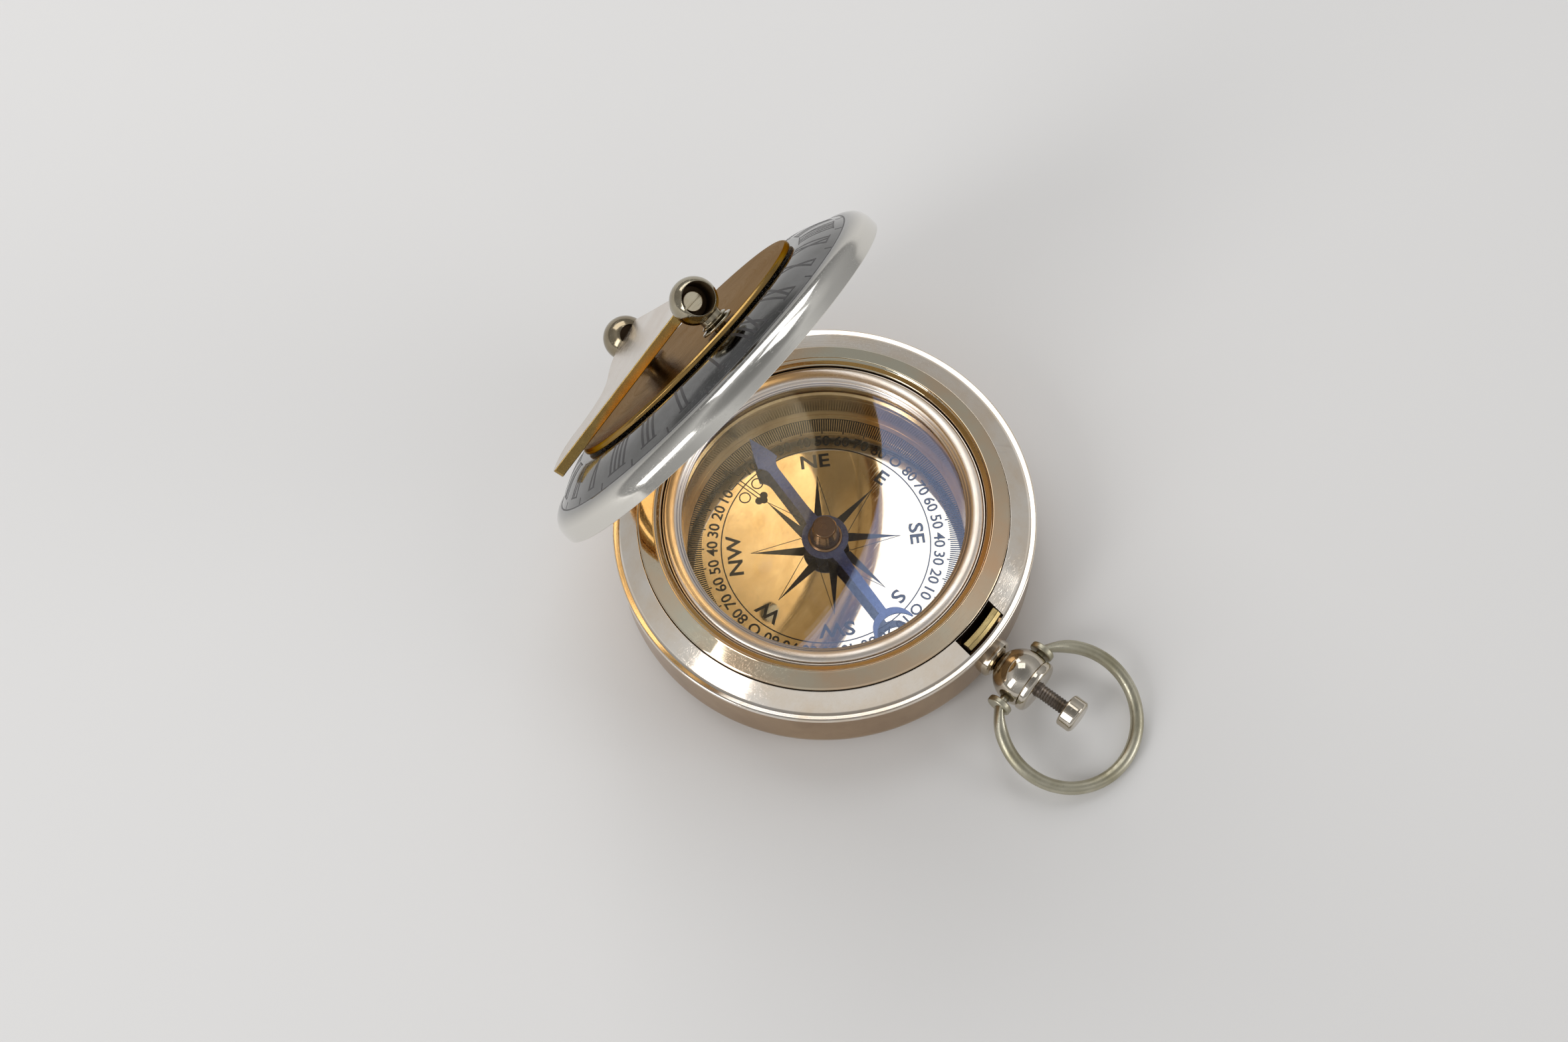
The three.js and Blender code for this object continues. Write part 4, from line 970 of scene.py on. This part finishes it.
# Push button: a dark threaded shaft with a polished knob screwed on its end and a stop collar inside
# the case. Pressing it slides the latch in.
def threaded(radius, depth, pitch, start, end, steps=48, rings=240):
    """A screw thread about Z: at height z and angle v the radius is radius - depth |2 f - 1|, where f is
    the fraction of z / pitch - v / 2 pi, eased to the full radius at both ends."""
    v = np.arange(steps) / steps * 2 * np.pi
    z = np.linspace(start, end, rings)[:, None]
    wave = np.abs(2 * ((z / pitch - v / (2 * np.pi)) % 1.0) - 1)
    fade = np.clip(np.minimum(z - start, end - z) / 0.3, 0, 1)
    r = radius - depth * wave * fade
    return tube(np.stack([r * np.cos(v), r * np.sin(v), z + 0 * v], -1))


shaft_steel = metal(
    "shaft_steel", (0.26, 0.22, 0.19), (0.12, 0.1, 0.08), 0.3, lathe=0.4, scratch=0.6, axis=stem_axis,
    pits=0.5
)
plain_outline = rounded([(0, 25.95), (1.5, 25.95), (1.5, 26.9), (1.0, 26.9), (1.0, 36.3), (0, 36.3)], 0.05)
bolt = together(turned(plain_outline, 48), threaded(1.0, 0.13, 0.42, 36.2, 40.4))
shaft = new_body("button_shaft_threaded", along_stem(bolt))
dress(shaft, shaft_steel, "button_body", "button_shaft", slot="dark_steel", crisp=60)
knob_outline = rounded(
    [(0, 40.4), (2.1, 40.4), (2.3, 40.6), (2.3, 42.35), (2.0, 42.62), (1.5, 42.7), (0, 42.7)],
    [0, 0.1, 0.1, 0.2, 0.2, 0.2, 0])
knob = new_body("button_knob_turned", along_stem(turned(knob_outline, 128)))
dress(knob, stem_silver, "button_body", "button_knob", slot="case_brass")


# Latch: a bent bar of brass that rises in the rim's slot, painted dark as shade below its top, with a
# nose that holds the lid's lip. The lock spring behind it pushes it out.
def curved_bar(section, half, steps=20):
    """A section of (radius r, height z) drawn along X at the front: y = -sqrt(r^2 - x^2), ends flat."""
    x = np.linspace(-half, half, steps + 1)
    r, z = section[:, :1], section[:, 1:]
    points = np.stack([x + 0 * r, -np.sqrt(r**2 - x**2), z + 0 * x], -1)
    n = steps + 1
    caps = [[i * n for i in range(len(section))], [i * n + steps for i in range(len(section))][::-1]]
    return points.reshape(-1, 3), quads(len(section), n, close_columns=False) + caps


latch_section = rounded(
    [(25.1, 4.2), (25.9, 4.2), (25.9, 7.35), (26.8, 7.4), (26.8, 12.72), (27.25, 12.76), (27.25, 12.96),
     (26.8, 13.36), (26.0, 13.36), (26.0, 8.2), (25.1, 8.15)], 0.07)
latch_brass = metal(
    "latch_brass", (0.42, 0.33, 0.15), (0.22, 0.15, 0.06), 0.22, lathe=0.2, scratch=0.6, pits=0.4
)
latch = new_body("latch_bar", curved_bar(latch_section, 3.2))
dress(latch, latch_brass, "latch_body", "latch", slot="gold_brass")
# Below its top the latch is painted near-black as shade in the slot.
also(latch, painted_shade_brass, lambda at, way: at[:, 2] < 12.9)

# Bow: a ring of dull brass wire, left soft grey-green, whose flattened ends turn in to two pins in the
# ball's sides. It swings freely and lies dropped on the table.
bow_drop, bow_radius, bow_gap, wire_radius = 15.94, 9.47, 4.85, 0.9
bow_open, bow_reach = math.asin(bow_gap / bow_radius), math.sqrt(bow_radius**2 - bow_gap**2)


def wire_ring(steps=160, around=24):
    """Wire carried round a circle of the bow's radius R: at path angle a the centre is (R sin a,
    reach + R cos a), and the section is w cos v in the ring's plane and h sin v out of it. Near the
    ends w grows smaller and h larger by a smooth step, which makes the flat ears."""
    a = np.linspace(-np.pi + bow_open, np.pi - bow_open, steps)[:, None]
    v = np.arange(around) / around * 2 * np.pi
    flattened = 0.42
    near = np.clip((np.abs(a) - (np.pi - bow_open - flattened)) / flattened, 0, 1)
    ease = near**2 * (3 - 2 * near)
    w, h = wire_radius - 0.32 * ease, wire_radius + 0.45 * ease
    grow = bow_radius + w * np.cos(v)
    return tube(np.stack([grow * np.sin(a), bow_reach + grow * np.cos(a), h * np.sin(v)], -1))


bow_parts = [wire_ring()]
for side in (-1, 1):
    bow_parts.append(along_x(rod(1.7, -0.62, 0.3, ease=0.26), (side * 4.72, 0, 0)))
    bow_parts.append(along_x(rod(0.6, 1.75, 5, 32, 0.1), (0, 0, 0), side))
points, faces = together(*bow_parts)
dropped = turn_x(points, 180 + bow_drop) + (0, -pendant_centre, stem_height)
bow_brass = metal("bow_brass", (0.58, 0.55, 0.44), (0.38, 0.35, 0.24), 0.3, lathe=0.1, scratch=0.6, pits=0.4)
bow = new_body("bow_ring", (dropped, faces))
dress(bow, bow_brass, "bow_body", "bow", slot="dull_brass")
